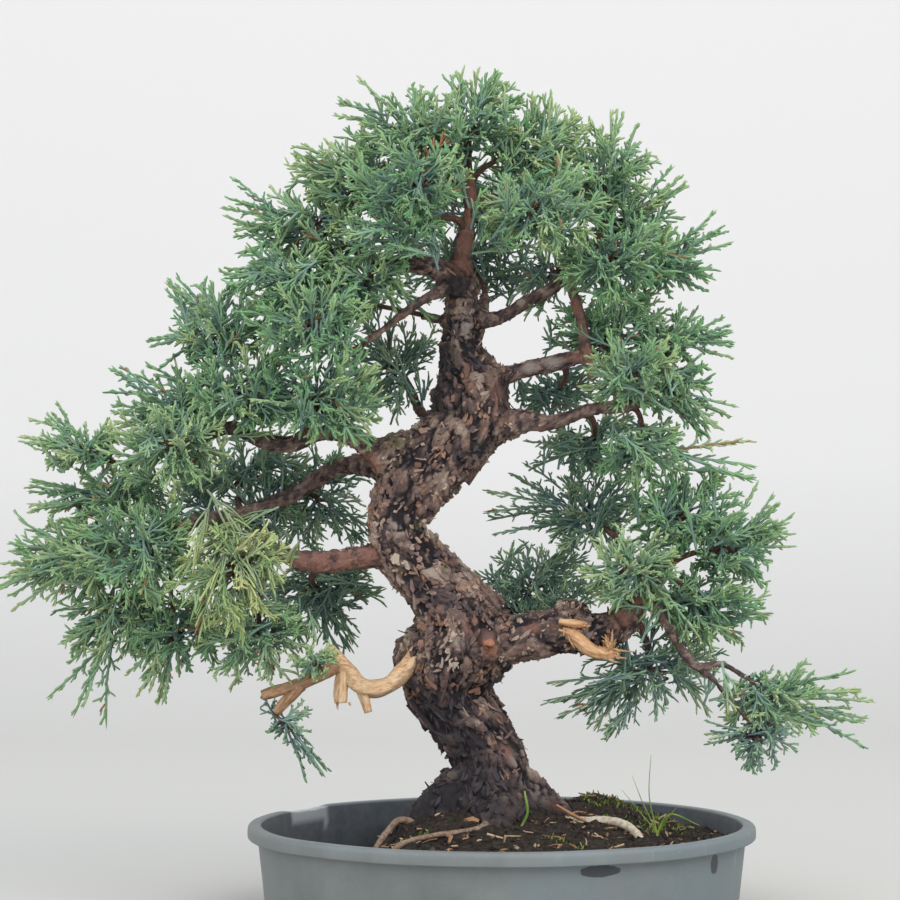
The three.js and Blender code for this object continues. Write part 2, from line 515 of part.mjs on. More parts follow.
// The largest core that stays clear of the limbs, of the other pads' twigs and of the cores made before it.
function fitCore(pad, earlier) {
  const origin = vector(0, 0, 0);
  for (let share = CORE_SHARE; share > LEAST_CORE_SHARE; share -= CORE_STEP) {
    const core = pad.half.clone().multiplyScalar(share);
    const hitsRun = runs.some((run) => {
      if (run.owner === `twig_${pad.name}`) return false;
      const reach = core.clone().addScalar(run.radius + SHOOT_CLEARANCE);
      const from = run.from.clone().sub(pad.hub).divide(reach);
      const to = run.to.clone().sub(pad.hub).divide(reach);
      return new THREE.Line3(from, to).closestPointToPoint(origin, true, vector(0, 0, 0)).length() < 1;
    });
    const hitsCore = earlier.some((other) => {
      const reach = core.clone().add(other.core).addScalar(SHOOT_CLEARANCE);
      return other.hub.clone().sub(pad.hub).divide(reach).length() < 1;
    });
    if (!hitsRun && !hitsCore) return core;
  }
  return pad.half.clone().multiplyScalar(LEAST_CORE_SHARE);
}

// The twig of a pad ends just short of its core.
function cutTwig(pad) {
  const end = pad.hub.clone().addScaledVector(pad.away, -(coreReach(pad.core, pad.away) + GAP));
  pad.twig = twigPoints(pad.limb, pad.share, end);
}

// The point where a line from the hub leaves the pad's rounded outline.
function edgePoint(pad, direction) {
  const start = pad.hub.clone().sub(pad.centre).divide(pad.half);
  const way = direction.clone().divide(pad.half);
  const [a, b, c] = [way.dot(way), 2 * start.dot(way), start.dot(start) - 1];
  const reach = (-b + Math.sqrt(b * b - 4 * a * c)) / (2 * a);
  return pad.hub.clone().addScaledVector(direction, reach);
}

// One spray: a slim three-sided stem that ends in a point, with a pointed side shoot on each face of its
// joint. The joint is at a share of the stem, outside the core. A shoot that would touch another node is left
// out.
function makeSpray(pad, tip, leastJoint) {
  if (!isFree(pad.name, pad.hub, tip, SHOOT_RADIUS)) return null;
  addRun(pad.name, pad.hub.clone(), tip.clone(), SHOOT_RADIUS);
  const stem = tip.clone().sub(pad.hub);
  const along = stem.clone().normalize();
  const across = along.clone().cross(vector(random() - 0.5, random() - 0.5, random() - 0.5)).normalize();
  const over = along.clone().cross(across);
  const at = (share, radius) => stemRing(pad.hub.clone().lerp(tip, share), across, over, radius);
  const corners = [];
  let ring = at(ROOT_SHARE, SHOOT_RADIUS);
  const joint = Math.max(leastJoint, coreReach(pad.core, along) / stem.length() + ROOT_SHARE);
  corners.push(ring[0], ring[2], ring[1]);
  const wall = (from, to, k) => {
    const n = (k + 1) % 3;
    corners.push(from[k], from[n], to[n], from[k], to[n], to[k]);
  };
  for (const share of joint < LAST_JOINT_SHARE ? [joint] : []) {
    const lower = at(share, SHOOT_RADIUS);
    const upper = at(share + JOINT_LENGTH / stem.length(), SHOOT_RADIUS * 0.9);
    for (let k = 0; k < 3; k++) {
      wall(ring, lower, k);
      const n = (k + 1) % 3;
      const root = lower[k].clone().add(upper[n]).multiplyScalar(0.5);
      const middle = pad.hub.clone().lerp(tip, share);
      const outward = lower[k].clone().add(lower[n]).multiplyScalar(0.5).sub(middle);
      const length = (SIDE_SHOOT_REACH - share) * stem.length() * (0.7 + 0.3 * random());
      const end = root.clone().addScaledVector(along, SIDE_SHOOT_FORWARD * length);
      end.addScaledVector(outward.normalize(), SIDE_SHOOT_OUTWARD * length);
      if (isFree(pad.name, root, end, SIDE_SHOOT_RADIUS)) {
        corners.push(lower[k], lower[n], end, lower[n], upper[n], end);
        corners.push(upper[n], upper[k], end, upper[k], lower[k], end);
        addRun(pad.name, root, end, SIDE_SHOOT_RADIUS);
      } else {
        wall(lower, upper, k);
      }
    }
    ring = upper;
  }
  for (let k = 0; k < 3; k++) corners.push(ring[k], ring[(k + 1) % 3], tip);
  return toSolid(fromCorners(corners));
}

// The tip of one plume, as far out from its face as it can stand clear of every other node.
function plumeTip(pad, foot) {
  const way = foot.clone().sub(pad.hub).normalize();
  const edge = edgePoint(pad, way);
  const reach = PLUME_REACH - PLUME_SPREAD * random();
  for (let step = 0; step < PLUME_STEPS; step++) {
    const tip = foot.clone().lerp(edge, reach * (1 - step / PLUME_STEPS));
    const middle = foot.clone().lerp(tip, 0.5);
    if (!isFree(pad.name, foot, middle, PLUME_ROOT_RADIUS)) continue;
    if (!isFree(pad.name, middle, tip, PLUME_ROOT_RADIUS / 2)) continue;
    addRun(pad.name, foot, middle, PLUME_ROOT_RADIUS);
    addRun(pad.name, middle, tip, PLUME_ROOT_RADIUS / 2);
    return tip;
  }
  return foot.clone().addScaledVector(way, 0.5);
}

// The core of a pad: a small ragged ball with a pointed plume on each of its faces.
function makeCore(pad) {
  const bare = new THREE.IcosahedronGeometry(1, 0).deleteAttribute("normal").deleteAttribute("uv");
  const ball = mergeVertices(bare);
  const position = ball.attributes.position;
  for (let i = 0; i < position.count; i++) {
    const reach = 1 - CORE_DENT * random();
    position.setXYZ(i, position.getX(i) * reach, position.getY(i) * reach, position.getZ(i) * reach);
  }
  ball.rotateX(random() * 3);
  ball.rotateZ(random() * 3);
  ball.scale(pad.core.x, pad.core.y, pad.core.z);
  ball.translate(pad.hub.x, pad.hub.y, pad.hub.z);
  const corners = [];
  for (let i = 0; i < ball.index.count; i += 3) {
    const corner = (k) => vector(0, 0, 0).fromBufferAttribute(position, ball.index.getX(i + k));
    const [a, b, c] = [corner(0), corner(1), corner(2)];
    const foot = a.clone().add(b).add(c).divideScalar(3);
    const tip = plumeTip(pad, foot);
    corners.push(a, b, tip, b, c, tip, c, a, tip);
  }
  return toSolid(fromCorners(corners));
}

// A foliage pad: its core, and sprays that stand out of it to the pad's edge and past it.
function makePad(pad) {
  const pieces = [pad.ball];
  const longShoots = leaders[pad.name] ?? [];
  for (const tip of longShoots) {
    const spray = makeSpray(pad, vector(...tip), LEADER_JOINT_SHARE);
    if (spray) pieces.push(spray);
  }
  const size = (pad.half.x + pad.half.y + pad.half.z) / 3;
  const count = Math.max(LEAST_SPRAYS, Math.round(size / SPRAY_SPACING) - Math.floor(longShoots.length / 2));
  for (let i = 0; i < count; i++) {
    const up = 1 - (2 * i + 1) / count;
    for (let attempt = 0; attempt < MAX_ATTEMPTS; attempt++) {
      const stray = attempt / MAX_ATTEMPTS;
      const turn = i * GOLDEN_TURN + 3 * stray * (random() - 0.5);
      const lift = THREE.MathUtils.clamp(up + stray * (random() - 0.5), -0.95, 0.95);
      const flat = Math.sqrt(1 - lift * lift);
      const edge = edgePoint(pad, vector(flat * Math.cos(turn), flat * Math.sin(turn), lift));
      const spray = makeSpray(pad, pad.hub.clone().lerp(edge, SPRAY_REACH), JOINT_SHARE);
      if (spray) {
        pieces.push(spray);
        break;
      }
    }
  }
  return largestBody(wasm.Manifold.union(pieces));
}

// The grown wood: trunk, limbs, surface roots and the twigs that carry the pads, as one solid.
function makeWood(padList) {
  const pieces = [makeTrunk(0)];
  for (const points of Object.values(limbs)) {
    const thickness = Math.max(...points.slice(1).map((p) => p[3]));
    const sides = thickness > THICK_LIMB_RADIUS ? LIMB_SIDES : THIN_LIMB_SIDES;
    pieces.push(tube(points, sides, points.length - 1));
  }
  for (const points of Object.values(roots)) pieces.push(makeRoot(points, 0));
  for (const pad of padList) {
    const [from, to] = [vector(...pad.twig[0]), vector(...pad.twig.at(-1))];
    pieces.push(tube(pad.twig, TWIG_SIDES, from.distanceTo(to) < SHORT_TWIG ? 1 : TWIG_STEPS));
  }
  return largestBody(wasm.Manifold.union(pieces));
}

// Grass: three thin blades that grow from one short foot in the soil.
const GRASS_ROOT = [80, -4];
const GRASS_DEPTH = 6;
const GRASS_FOOT_RADIUS = 1.6;
const GRASS_RADIUS = 0.8;
const grassBlades = [[[-4, 2, 22], [-3, 4, 43]], [[-8, -1, 20], [-13, -2, 33]], [[6, -3, 13], [21, -7, 8]]];

function grassPoints(blade) {
  const [x, y] = GRASS_ROOT;
  const ground = soilHeight(x, y);
  const radii = [GRASS_RADIUS, GRASS_RADIUS / 2];
  const lifted = blade.map((p, i) => [x + p[0], y + p[1], ground + p[2], radii[i]]);
  return [[x, y, ground - 5, 1], [x, y, ground + 1, 1], ...lifted];
}

// The foot of the grass, or the hole for it when it is made larger and higher.
function grassFoot(height, extra) {
  const [x, y] = GRASS_ROOT;
  const ground = soilHeight(x, y);
  const low = [x, y, ground - GRASS_DEPTH, GRASS_FOOT_RADIUS];
  const high = [x, y, ground + height, GRASS_FOOT_RADIUS];
  return tube([low, high], 6, 1, extra);
}

function makeGrass() {
  const blades = grassBlades.map((blade) => tube(grassPoints(blade), 3, 6));
  return largestBody(wasm.Manifold.union([grassFoot(3, 0), ...blades]));
}

function addMesh(group, name, solid, material) {
  const mesh = new THREE.Mesh(toGeometry(solid), material);
  mesh.name = name;
  group.add(mesh);
}

const potMaterial = new THREE.MeshStandardMaterial({ color: 0x7b8288, roughness: 0.6, metalness: 0 });
const soilMaterial = new THREE.MeshStandardMaterial({ color: 0x2c241e, roughness: 1, metalness: 0 });
const barkMaterial = new THREE.MeshStandardMaterial({ color: 0x5a4238, roughness: 0.95, metalness: 0 });
const grassMaterial = new THREE.MeshStandardMaterial({ color: 0x6a8a3a, roughness: 0.8, metalness: 0 });

const bonsai = new THREE.Group();
const padList = pads.map(layOutPad);

addTube("wood", [...lowerTrunk, ...upperTrunk]);
for (const points of Object.values(limbs)) addTube("wood", points);
for (const pad of padList) addTube(`twig_${pad.name}`, pad.twig);
padList.forEach((pad, i) => {
  pad.core = fitCore(pad, padList.slice(0, i));
});
const limbRuns = runs.filter((run) => !run.owner.startsWith("twig_"));
runs.length = 0;
runs.push(...limbRuns);
for (const pad of padList) {
  cutTwig(pad);
  addTube("wood", pad.twig);
  const besideHub = pad.hub.clone().add(vector(0.1, 0, 0));
  addRun(pad.name, pad.hub.clone(), besideHub, CORE_FULLNESS * Math.max(...pad.core.toArray()));
}
for (const pad of padList) pad.ball = makeCore(pad);

addMesh(bonsai, "pot", makePot(), potMaterial);
const rootHoles = Object.values(roots).map((points) => makeRoot(points, GAP));
const holes = [makeTrunk(GAP), ...rootHoles, grassFoot(9, 2 * GAP)];
addMesh(bonsai, "soil", makeSoil(holes), soilMaterial);
addMesh(bonsai, "wood", makeWood(padList), barkMaterial);
addMesh(bonsai, "grass_tuft", makeGrass(), grassMaterial);
for (const pad of padList) {
  const color = padColours[pad.colour];
  const material = new THREE.MeshStandardMaterial({ color, roughness: 0.7, metalness: 0 });
  addMesh(bonsai, `foliage_${pad.name}`, makePad(pad), material);
}

export default bonsai;
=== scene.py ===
"""A chinese juniper bonsai in a shallow round grey pot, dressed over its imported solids.

The tables are in millimetres, as in the part's own source, and everything is made in metres, +Z up.
The front of the tree faces -Y. Every piece rides on the one body, "root".
"""

import math

import bpy
import numpy as np
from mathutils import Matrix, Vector, noise


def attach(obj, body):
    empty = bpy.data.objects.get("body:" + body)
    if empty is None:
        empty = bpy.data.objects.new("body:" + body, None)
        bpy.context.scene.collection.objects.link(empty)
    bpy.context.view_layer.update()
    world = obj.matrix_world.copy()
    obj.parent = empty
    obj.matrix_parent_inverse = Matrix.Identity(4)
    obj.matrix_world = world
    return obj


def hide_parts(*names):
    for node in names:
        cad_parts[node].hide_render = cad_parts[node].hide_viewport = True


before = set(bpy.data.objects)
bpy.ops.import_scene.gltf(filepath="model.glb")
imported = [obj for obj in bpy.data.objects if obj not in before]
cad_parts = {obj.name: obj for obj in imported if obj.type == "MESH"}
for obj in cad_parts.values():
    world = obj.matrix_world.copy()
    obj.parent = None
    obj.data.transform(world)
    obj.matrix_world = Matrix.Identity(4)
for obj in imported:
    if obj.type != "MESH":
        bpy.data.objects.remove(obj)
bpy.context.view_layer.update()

MM = 0.001
# Every builder draws from a generator of its own that is seeded from this.
SEED = 38
# noise_vector has a random offset too, which would otherwise come from the clock.
noise.seed_set(SEED)

# Grown lines: each row is x, y, z and radius.
TRUNK = [
    (-8, 0, 40, 36), (-7, 0, 56, 32), (-5.5, 0, 66, 25), (-4.5, 0, 76, 20), (-8, 0, 86, 18),
    (-15.5, 0, 96, 19.5), (-23, 1, 106, 20), (-29, 1, 116, 21), (-28, 0, 127, 26.5),
    (-22.5, -1, 139, 27.5), (-23, -2, 151, 23), (-30.5, -3, 163, 18.5), (-38.5, -4, 173, 16.5),
    (-47, -5, 183, 16), (-53, -6, 193, 15.4), (-53.5, -6, 204, 15.6), (-48, -4, 216, 17.5),
    (-39, -2, 228, 19.5), (-27.5, 0, 240, 20), (-17, 1, 251, 18.5), (-15, 2, 262, 20),
    (-15, 3, 273, 19), (-18.3, 3, 283, 14.8), (-20.5, 4, 292, 11.4), (-20, 4, 304, 10),
    (-20, 4, 317, 8.4), (-20.5, 4, 327, 7.6), (-21, 3, 336, 6), (-19, 2, 347, 4.6),
    (-16.5, 0, 359, 3.8), (-16, -1, 370, 3.4), (-16.5, -2, 381, 2.9),
]

LIMBS = {
    "crown_right": [
        (-16, 4, 306, 7), (-6, 8, 306, 4.6), (3, 11, 309, 3.8), (14, 14, 316, 3.6),
        (26, 15, 322, 3.4), (44, 10, 338, 3), (55, 2, 358, 2.6),
    ],
    "stub_right": [
        (33, 2, 338, 2.2), (35, 0, 326, 2.9), (39, -4, 312, 3.2), (42, -6, 300, 3.3),
        (44, -7, 288, 3.6), (47, -8, 274, 2.3),
    ],
    "cut_knot": [(-16, -14, 134, 10), (-8, -25, 137, 7.5), (-4, -30, 138, 5)],
    "limb_knob": [(34, -9, 148, 9), (36, -9, 156, 9), (37, -9, 162, 6)],
    "right_upper": [
        (-10, 2, 272, 10), (-1, 0, 276, 6), (7, -1, 278.5, 4.4), (17, -3, 281, 4.8),
        (31, -5, 284, 4.6), (40, -6, 286.5, 3.8), (47, -6, 288, 3.2),
    ],
    "right_middle": [
        (-12, 0, 248, 13), (3, -3, 252, 8.6), (11, -5, 253.5, 6.4), (25, -8, 252.5, 4.2),
        (40, -10, 257.5, 3.7), (50, -11, 260, 3.6), (68, -12, 262, 3.4), (80, -8, 274, 2.8),
    ],
    "right_lower": [
        (-20, -2, 138, 21), (-3, -4, 141, 17.5), (8, -6, 142.5, 13), (20, -8, 144.5, 12.2),
        (32, -9, 145, 12), (44, -9, 144.5, 11.2), (57, -8, 147, 9.6), (66, -7, 155, 7.4),
        (73, -6, 165, 5), (81, -5, 174, 3.8), (88, -4, 182, 3.2),
    ],
    "right_thin": [
        (66, -8, 158, 5), (73, -11, 164, 3.4), (80, -15, 156, 3.1), (87, -18, 145, 2.9),
        (94, -20, 133, 2.8), (100, -21, 128, 2.6), (110, -21, 130, 2.1), (124, -20, 123, 1.7),
    ],
    "right_fork": [
        (98, -21, 129, 2.2), (106, -22, 123, 1.9), (112, -23, 116, 1.8), (118, -24, 109, 1.6),
    ],
    "left_shoulder": [
        (-30, -2, 240, 11.5), (-44, -6, 240, 9.6), (-57, -9, 238, 8.8), (-68, -11, 231, 7.4),
    ],
    "left_upper": [
        (-58, -8, 233, 8), (-69, -11, 240, 5.6), (-78, -13, 246, 4.8), (-92, -15, 247.5, 4.6),
        (-107, -17, 242, 4.6), (-122, -18, 243, 4.2), (-138, -18, 250, 3.8), (-165, -14, 240, 3.2),
        (-192, -8, 232, 2.6),
    ],
    "left_back": [
        (-56, -4, 228, 9), (-70, 4, 231, 6.2), (-82, 12, 230, 4.8), (-92, 16, 226, 4.6),
        (-102, 18, 219, 4.4), (-114, 18, 213, 4.2), (-134, 8, 206, 3.8), (-158, -2, 202, 3.4),
        (-184, -8, 192, 2.8),
    ],
    "left_red": [
        (-50, -6, 187, 10), (-62, -9, 185, 7), (-78, -13, 183, 6.2), (-94, -17, 181.2, 6),
        (-105, -20, 183, 5.2), (-117, -22, 189, 3.4),
    ],
    "upper_left": [
        (-20, 2, 322, 8), (-34, -4, 332, 5.6), (-48, -8, 334, 4.6), (-62, -10, 334, 3.8),
        (-78, -10, 344, 3.2),
    ],
    "brown_twig": [
        (-26, -2, 324, 4), (-39, -10, 316, 2.8), (-48, -12, 310, 2.5), (-57, -14, 303, 2.3),
        (-73, -16, 291, 2.1),
    ],
    "dark_twig": [(-19, 6, 308, 4.5), (-30, 10, 306, 3), (-42, 14, 309, 2.6)],
    "jin_left": [
        (-34, -8, 138, 9), (-48, -16, 128, 4.9), (-58, -18, 119, 4.5), (-66, -19, 117, 4.4),
        (-73, -19, 119, 4.4), (-79, -19, 126, 4), (-84, -19, 132, 3.6), (-89, -19, 138, 2.8),
    ],
    "jin_stub_long": [(-80, -19, 127, 3.4), (-82, -20, 118, 3.4), (-82, -20, 110, 3)],
    "jin_stub_short": [(-72, -19, 119, 3.2), (-70, -19, 112, 2.5), (-68, -19, 105, 1.8)],
    "jin_twig": [
        (-82, -19, 130, 3.6), (-95, -22, 123, 3), (-104, -23, 119.5, 3.1), (-112, -23, 117, 3.1),
        (-122, -23, 114, 2.5),
    ],
    "jin_fork": [(-102, -23, 119, 3), (-109, -23, 112, 2.7), (-115, -23, 105, 2.1)],
    "jin_right": [
        (33, -18, 147, 3.4), (40, -21, 141, 3.3), (47, -21, 136, 3.2), (57, -19, 135, 2.4),
    ],
    "jin_strip": [(29, -21, 151.5, 1.4), (36, -22.5, 150.6, 1.9), (43, -21.5, 150, 1.2)],
    "back_low": [(-14, 8, 140, 13), (-8, 30, 146, 6), (0, 46, 150, 4.6), (10, 54, 156, 3.4)],
    "back_middle": [(-30, 6, 240, 9), (-36, 24, 250, 3.6), (-44, 36, 263, 3), (-51, 44, 277, 2.6)],
    "back_high": [(-18, 6, 290, 8), (-14, 22, 298, 5), (-10, 36, 308, 4), (-8, 46, 320, 3.2)],
}

ROOTS = {
    "foot_left": [
        (-8, -4, 75, 11), (-18, -6, 66, 11), (-29, -8, 57.5, 12), (-38, -10, 47, 12),
        (-42, -11, 36, 11),
    ],
    "foot_right": [
        (2, 3, 71, 12), (13, 4, 61, 11.5), (22, 5, 53, 11), (29, 6, 44, 10), (31, 6, 36, 9),
    ],
    "root_left": [
        (-42, -12, 45, 4), (-52, -22, 50.5, 1.8), (-58, -32, 46, 1.6), (-64, -42, 38, 1.5),
        (-67, -48, 27, 1.4),
    ],
    "root_right": [
        (24, 0, 47, 5), (42, 2, 47, 2.6), (54, 2, 47.5, 2.4), (63, -3, 46, 2.3),
        (70, -10, 41, 2.1), (74, -19, 29, 1.8),
    ],
    "root_low": [
        (-4, -24, 52, 4), (-12, -42, 48.4, 1.7), (-37, -50, 45.5, 1.4), (-52, -56, 41.5, 1.4),
        (-60, -60, 32, 1.4),
    ],
}

# Pads of the dark kind are painted as in shade, with a darker and bluer copy of the green.
PADS = {
    "crown_left": ("green", (-50, -4, 404), (31, 29, 19), "trunk", 1),
    "crown_middle": ("green", (-16, -14, 406), (30, 28, 20), "trunk", 1),
    "crown_right": ("green", (21, -6, 394), (30, 29, 20), "trunk", 0.97),
    "crown_far_right": ("green", (51, 2, 382), (27, 29, 22), "crown_right", 1),
    "crown_shoulder": ("green", (-80, -2, 378), (29, 29, 21), "trunk", 0.95),
    "crown_lower_left": ("green", (-102, -2, 355), (29, 29, 20), "upper_left", 1),
    "crown_front_left": ("green", (-48, -42, 374), (31, 26, 24), "trunk", 0.92),
    "crown_edge_right": ("green", (68, 10, 359), (22, 26, 20), "crown_right", 0.9),
    "crown_front_right": ("green", (20, -46, 360), (33, 28, 25), "trunk", 0.9),
    "crown_low_right": ("green", (56, -38, 334), (32, 28, 23), "crown_right", 0.7),
    "crown_low_left": ("green", (-58, -38, 350), (29, 24, 18), "trunk", 0.87),
    "crown_tip_right": ("green", (86, -4, 336), (21, 25, 17), "crown_right", 0.8),
    "crown_back_left": ("dark", (-50, 52, 380), (34, 30, 26), "trunk", 0.93),
    "crown_back_right": ("dark", (11, 54, 374), (38, 30, 26), "trunk", 0.89),
    "crown_back_low": ("dark", (-16, 74, 340), (36, 26, 24), "back_high", 1),
    "left_back_high": ("dark", (-102, 44, 320), (36, 30, 26), "dark_twig", 1),
    "left_high_outer": ("green", (-112, -20, 326), (31, 28, 20), "upper_left", 0.9),
    "left_high_tip": ("green", (-145, -4, 304), (28, 28, 23), "left_upper", 0.62),
    "left_high_front": ("green", (-98, -48, 303), (32, 26, 23), "brown_twig", 1),
    "left_high_inner": ("green", (-70, -26, 323), (25, 22, 19), "upper_left", 0.7),
    "left_middle_front": ("green", (-92, -44, 267), (37, 26, 24), "left_upper", 0.3),
    "left_middle_outer": ("green", (-131, -30, 271), (32, 28, 23), "left_upper", 0.52),
    "left_middle_back": ("dark", (-62, 48, 285), (26, 24, 27), "back_middle", 1),
    "left_middle_tip": ("green", (-167, 0, 264), (25, 28, 20), "left_upper", 0.72),
    "left_low_front": ("green", (-168, -42, 240), (33, 26, 24), "left_upper", 0.76),
    "left_low_tip": ("green", (-217, -8, 240), (22, 20, 13), "left_upper", 1),
    "left_low_outer": ("green", (-203, 14, 213), (31, 28, 17), "left_upper", 0.93),
    "left_low_back": ("dark", (-137, 44, 226), (43, 30, 22), "left_back", 0.6),
    "left_low_under": ("dark", (-139, 38, 203), (38, 22, 17), "left_back", 0.52),
    "left_skirt_tip": ("green", (-218, -8, 183), (30, 28, 24), "left_back", 1),
    "left_skirt_front": ("green", (-185, -38, 187), (34, 26, 28), "left_back", 0.9),
    "left_skirt_lower": ("green", (-198, 4, 150), (30, 28, 21), "left_back", 0.93),
    "left_skirt_bottom": ("green", (-168, -8, 141), (29, 26, 20), "left_back", 0.8),
    "left_skirt_young": ("young", (-137, -54, 175), (30, 22, 30), "left_red", 1),
    "left_skirt_under": ("green", (-125, -26, 139), (31, 26, 21), "left_red", 0.9),
    "left_twig_hanging": ("dark", (-108, -24, 99), (11, 11, 11), "jin_fork", 1),
    "left_skirt_back": ("dark", (-99, 54, 164), (30, 28, 27), "left_red", 0.45),
    "left_skirt_back_high": ("dark", (-99, 54, 212), (28, 24, 29), "left_back", 0.3),
    "left_twig_tuft": ("green", (-96, -38, 132), (13, 10, 10), "jin_twig", 0.3),
    "right_high": ("green", (58, 14, 303), (32, 30, 22), "right_upper", 1),
    "right_high_tip": ("green", (86, -2, 297), (18, 26, 16), "right_middle", 1),
    "right_high_front": ("green", (64, -40, 278), (26, 24, 21), "right_middle", 0.85),
    "right_middle_tip": ("green", (90, -10, 270), (19, 25, 15), "right_middle", 0.95),
    "right_middle_back": ("dark", (30, 50, 268), (24, 22, 14), "right_upper", 0.6),
    "right_low_back": ("dark", (50, 40, 240), (34, 28, 20), "right_middle", 0.5),
    "right_low": ("green", (73, -18, 236), (24, 26, 17), "right_middle", 0.8),
    "crown_under_right": ("dark", (31, 44, 334), (26, 22, 17), "crown_right", 0.4),
    "right_skirt_back_high": ("dark", (44, 44, 208), (29, 26, 24), "right_lower", 0.75),
    "right_skirt_high": ("green", (93, -6, 209), (29, 30, 21), "right_lower", 1),
    "right_skirt_tip": ("green", (121, 0, 189), (22, 25, 21), "right_lower", 0.97),
    "right_skirt_low": ("green", (108, 0, 157), (31, 29, 24), "right_lower", 0.9),
    "right_skirt_back": ("dark", (22, 52, 169), (33, 26, 22), "back_low", 1),
    "right_skirt_front": ("green", (64, -32, 178), (27, 24, 23), "right_lower", 0.93),
    "right_skirt_under": ("dark", (80, 12, 121), (36, 29, 23), "right_lower", 0.7),
    "right_end": ("green", (139, -16, 108), (26, 26, 21), "right_thin", 1),
    "right_end_hanging": ("dark", (132, -30, 93), (17, 15, 14), "right_fork", 1),
}

# Shares of the part's source that the pads' hubs and twigs follow.
HUB_SHIFT = 0.22
TWIG_RADIUS = 2.1
TWIG_TIP_RADIUS = 1.2

# The fine foliage: scale-leaved cords in sprays, at true size.
CORD_RADIUS = 0.8
CORD_SIDES = 3
LATERAL_ANGLE = 0.62
LEADER_REACH = 1.35
SPRAY_LENGTH = 27
LEAST_TIP_REACH = 11
FAN_PAD = "left_skirt_young"
FAN_FLOW = (-0.3, -0.35, -0.75)
FAN_LENGTH = 36
FAN_ANGLE = 0.42
FAN_DROOP = 0.2
FILL_DENSITY = 0.04
DEAD_SHARE = 0.001
DEAD_CORDS = 0.008
SPARSE_PADS = {
    "right_skirt_under": 0.55, "left_skirt_back_high": 0.5, "crown_under_right": 0.4,
    "right_end_hanging": 0.5, "left_twig_hanging": 0.2, "left_middle_back": 0.8,
    "right_skirt_back_high": 0.8, "right_low_back": 0.8,
}
# Tips of further sprays that close gaps between the pads. Each belongs to the pad it is nearest to.
MORE_TIPS = [
    (-52, 6, 344), (-47, 8, 324), (-40, 8, 312), (-33, 8, 300), (-36, 8, 306), (-55, 14, 257), (-48, 16, 262),
    (-94, 6, 239), (-88, 8, 236), (-94, 18, 192), (-84, 18, 196), (20, 28, 190), (27, 26, 195), (32, 24, 186),
    (95, 6, 228), (88, 8, 232), (82, 4, 224), (79, 6, 149), (73, 8, 154), (-160, 2, 161), (-152, 4, 166),
    (48, 10, 161), (54, 8, 168), (-81, 0, 398), (-76, -4, 402), (-84, 4, 392), (51, 0, 406), (56, 2, 402),
    (46, -4, 408), (-47, 0, 425), (-42, 4, 427), (-147, 4, 318), (-150, 0, 322), (-122, -6, 113),
    (-118, -4, 108), (82, 6, 321), (35, 20, 223), (42, 18, 220), (133, 2, 172), (136, -2, 168),
    (12, 14, 309), (18, 12, 312), (6, 12, 314), (-100, -8, 362), (-104, -4, 366), (76, 0, 362), (60, 20, 200), (66, 16, 206),
]
# How much yellower (above 0) or bluer a pad is than the others.
PAD_TONES = {
    "left_skirt_front": 0.16, "left_skirt_lower": 0.12, "left_skirt_tip": 0.12, "left_skirt_bottom": 0.14,
    "left_skirt_under": 0.1, "left_low_front": 0.12, "left_low_outer": 0.1, "left_low_tip": 0.15,
    "left_high_inner": -0.1, "left_high_front": -0.06, "left_middle_front": -0.08, "left_high_tip": -0.06,
    "right_high": -0.14, "right_high_tip": -0.08, "right_low": -0.1, "crown_tip_right": -0.1,
    "crown_low_right": -0.04, "right_skirt_front": 0.1, "right_skirt_low": 0.05, "right_end": -0.05,
    "crown_middle": 0.05, "crown_right": 0.08,
}
LONG_STATIONS = ((0.0, 1.0), (0.5, 0.98), (0.9, 0.8))
SHORT_STATIONS = ((0.0, 0.95), (0.82, 0.82))

# The kinds of spray, as places in the list of templates, and how many templates a kind has.
SHORT, LEADER, FAN = range(3)
TEMPLATE_COUNT = 24
# Cords longer than this, in mm, have one ring more.
LONG_CORD = 8
DARK_CORD_SHARE = 0.86
# Pads grow on the trunk from this row of its table on.
CROWN_START = 11
STEM_SHARE = 0.75
TWIG_SHARE = 0.35
LONGEST_TWIG = 15

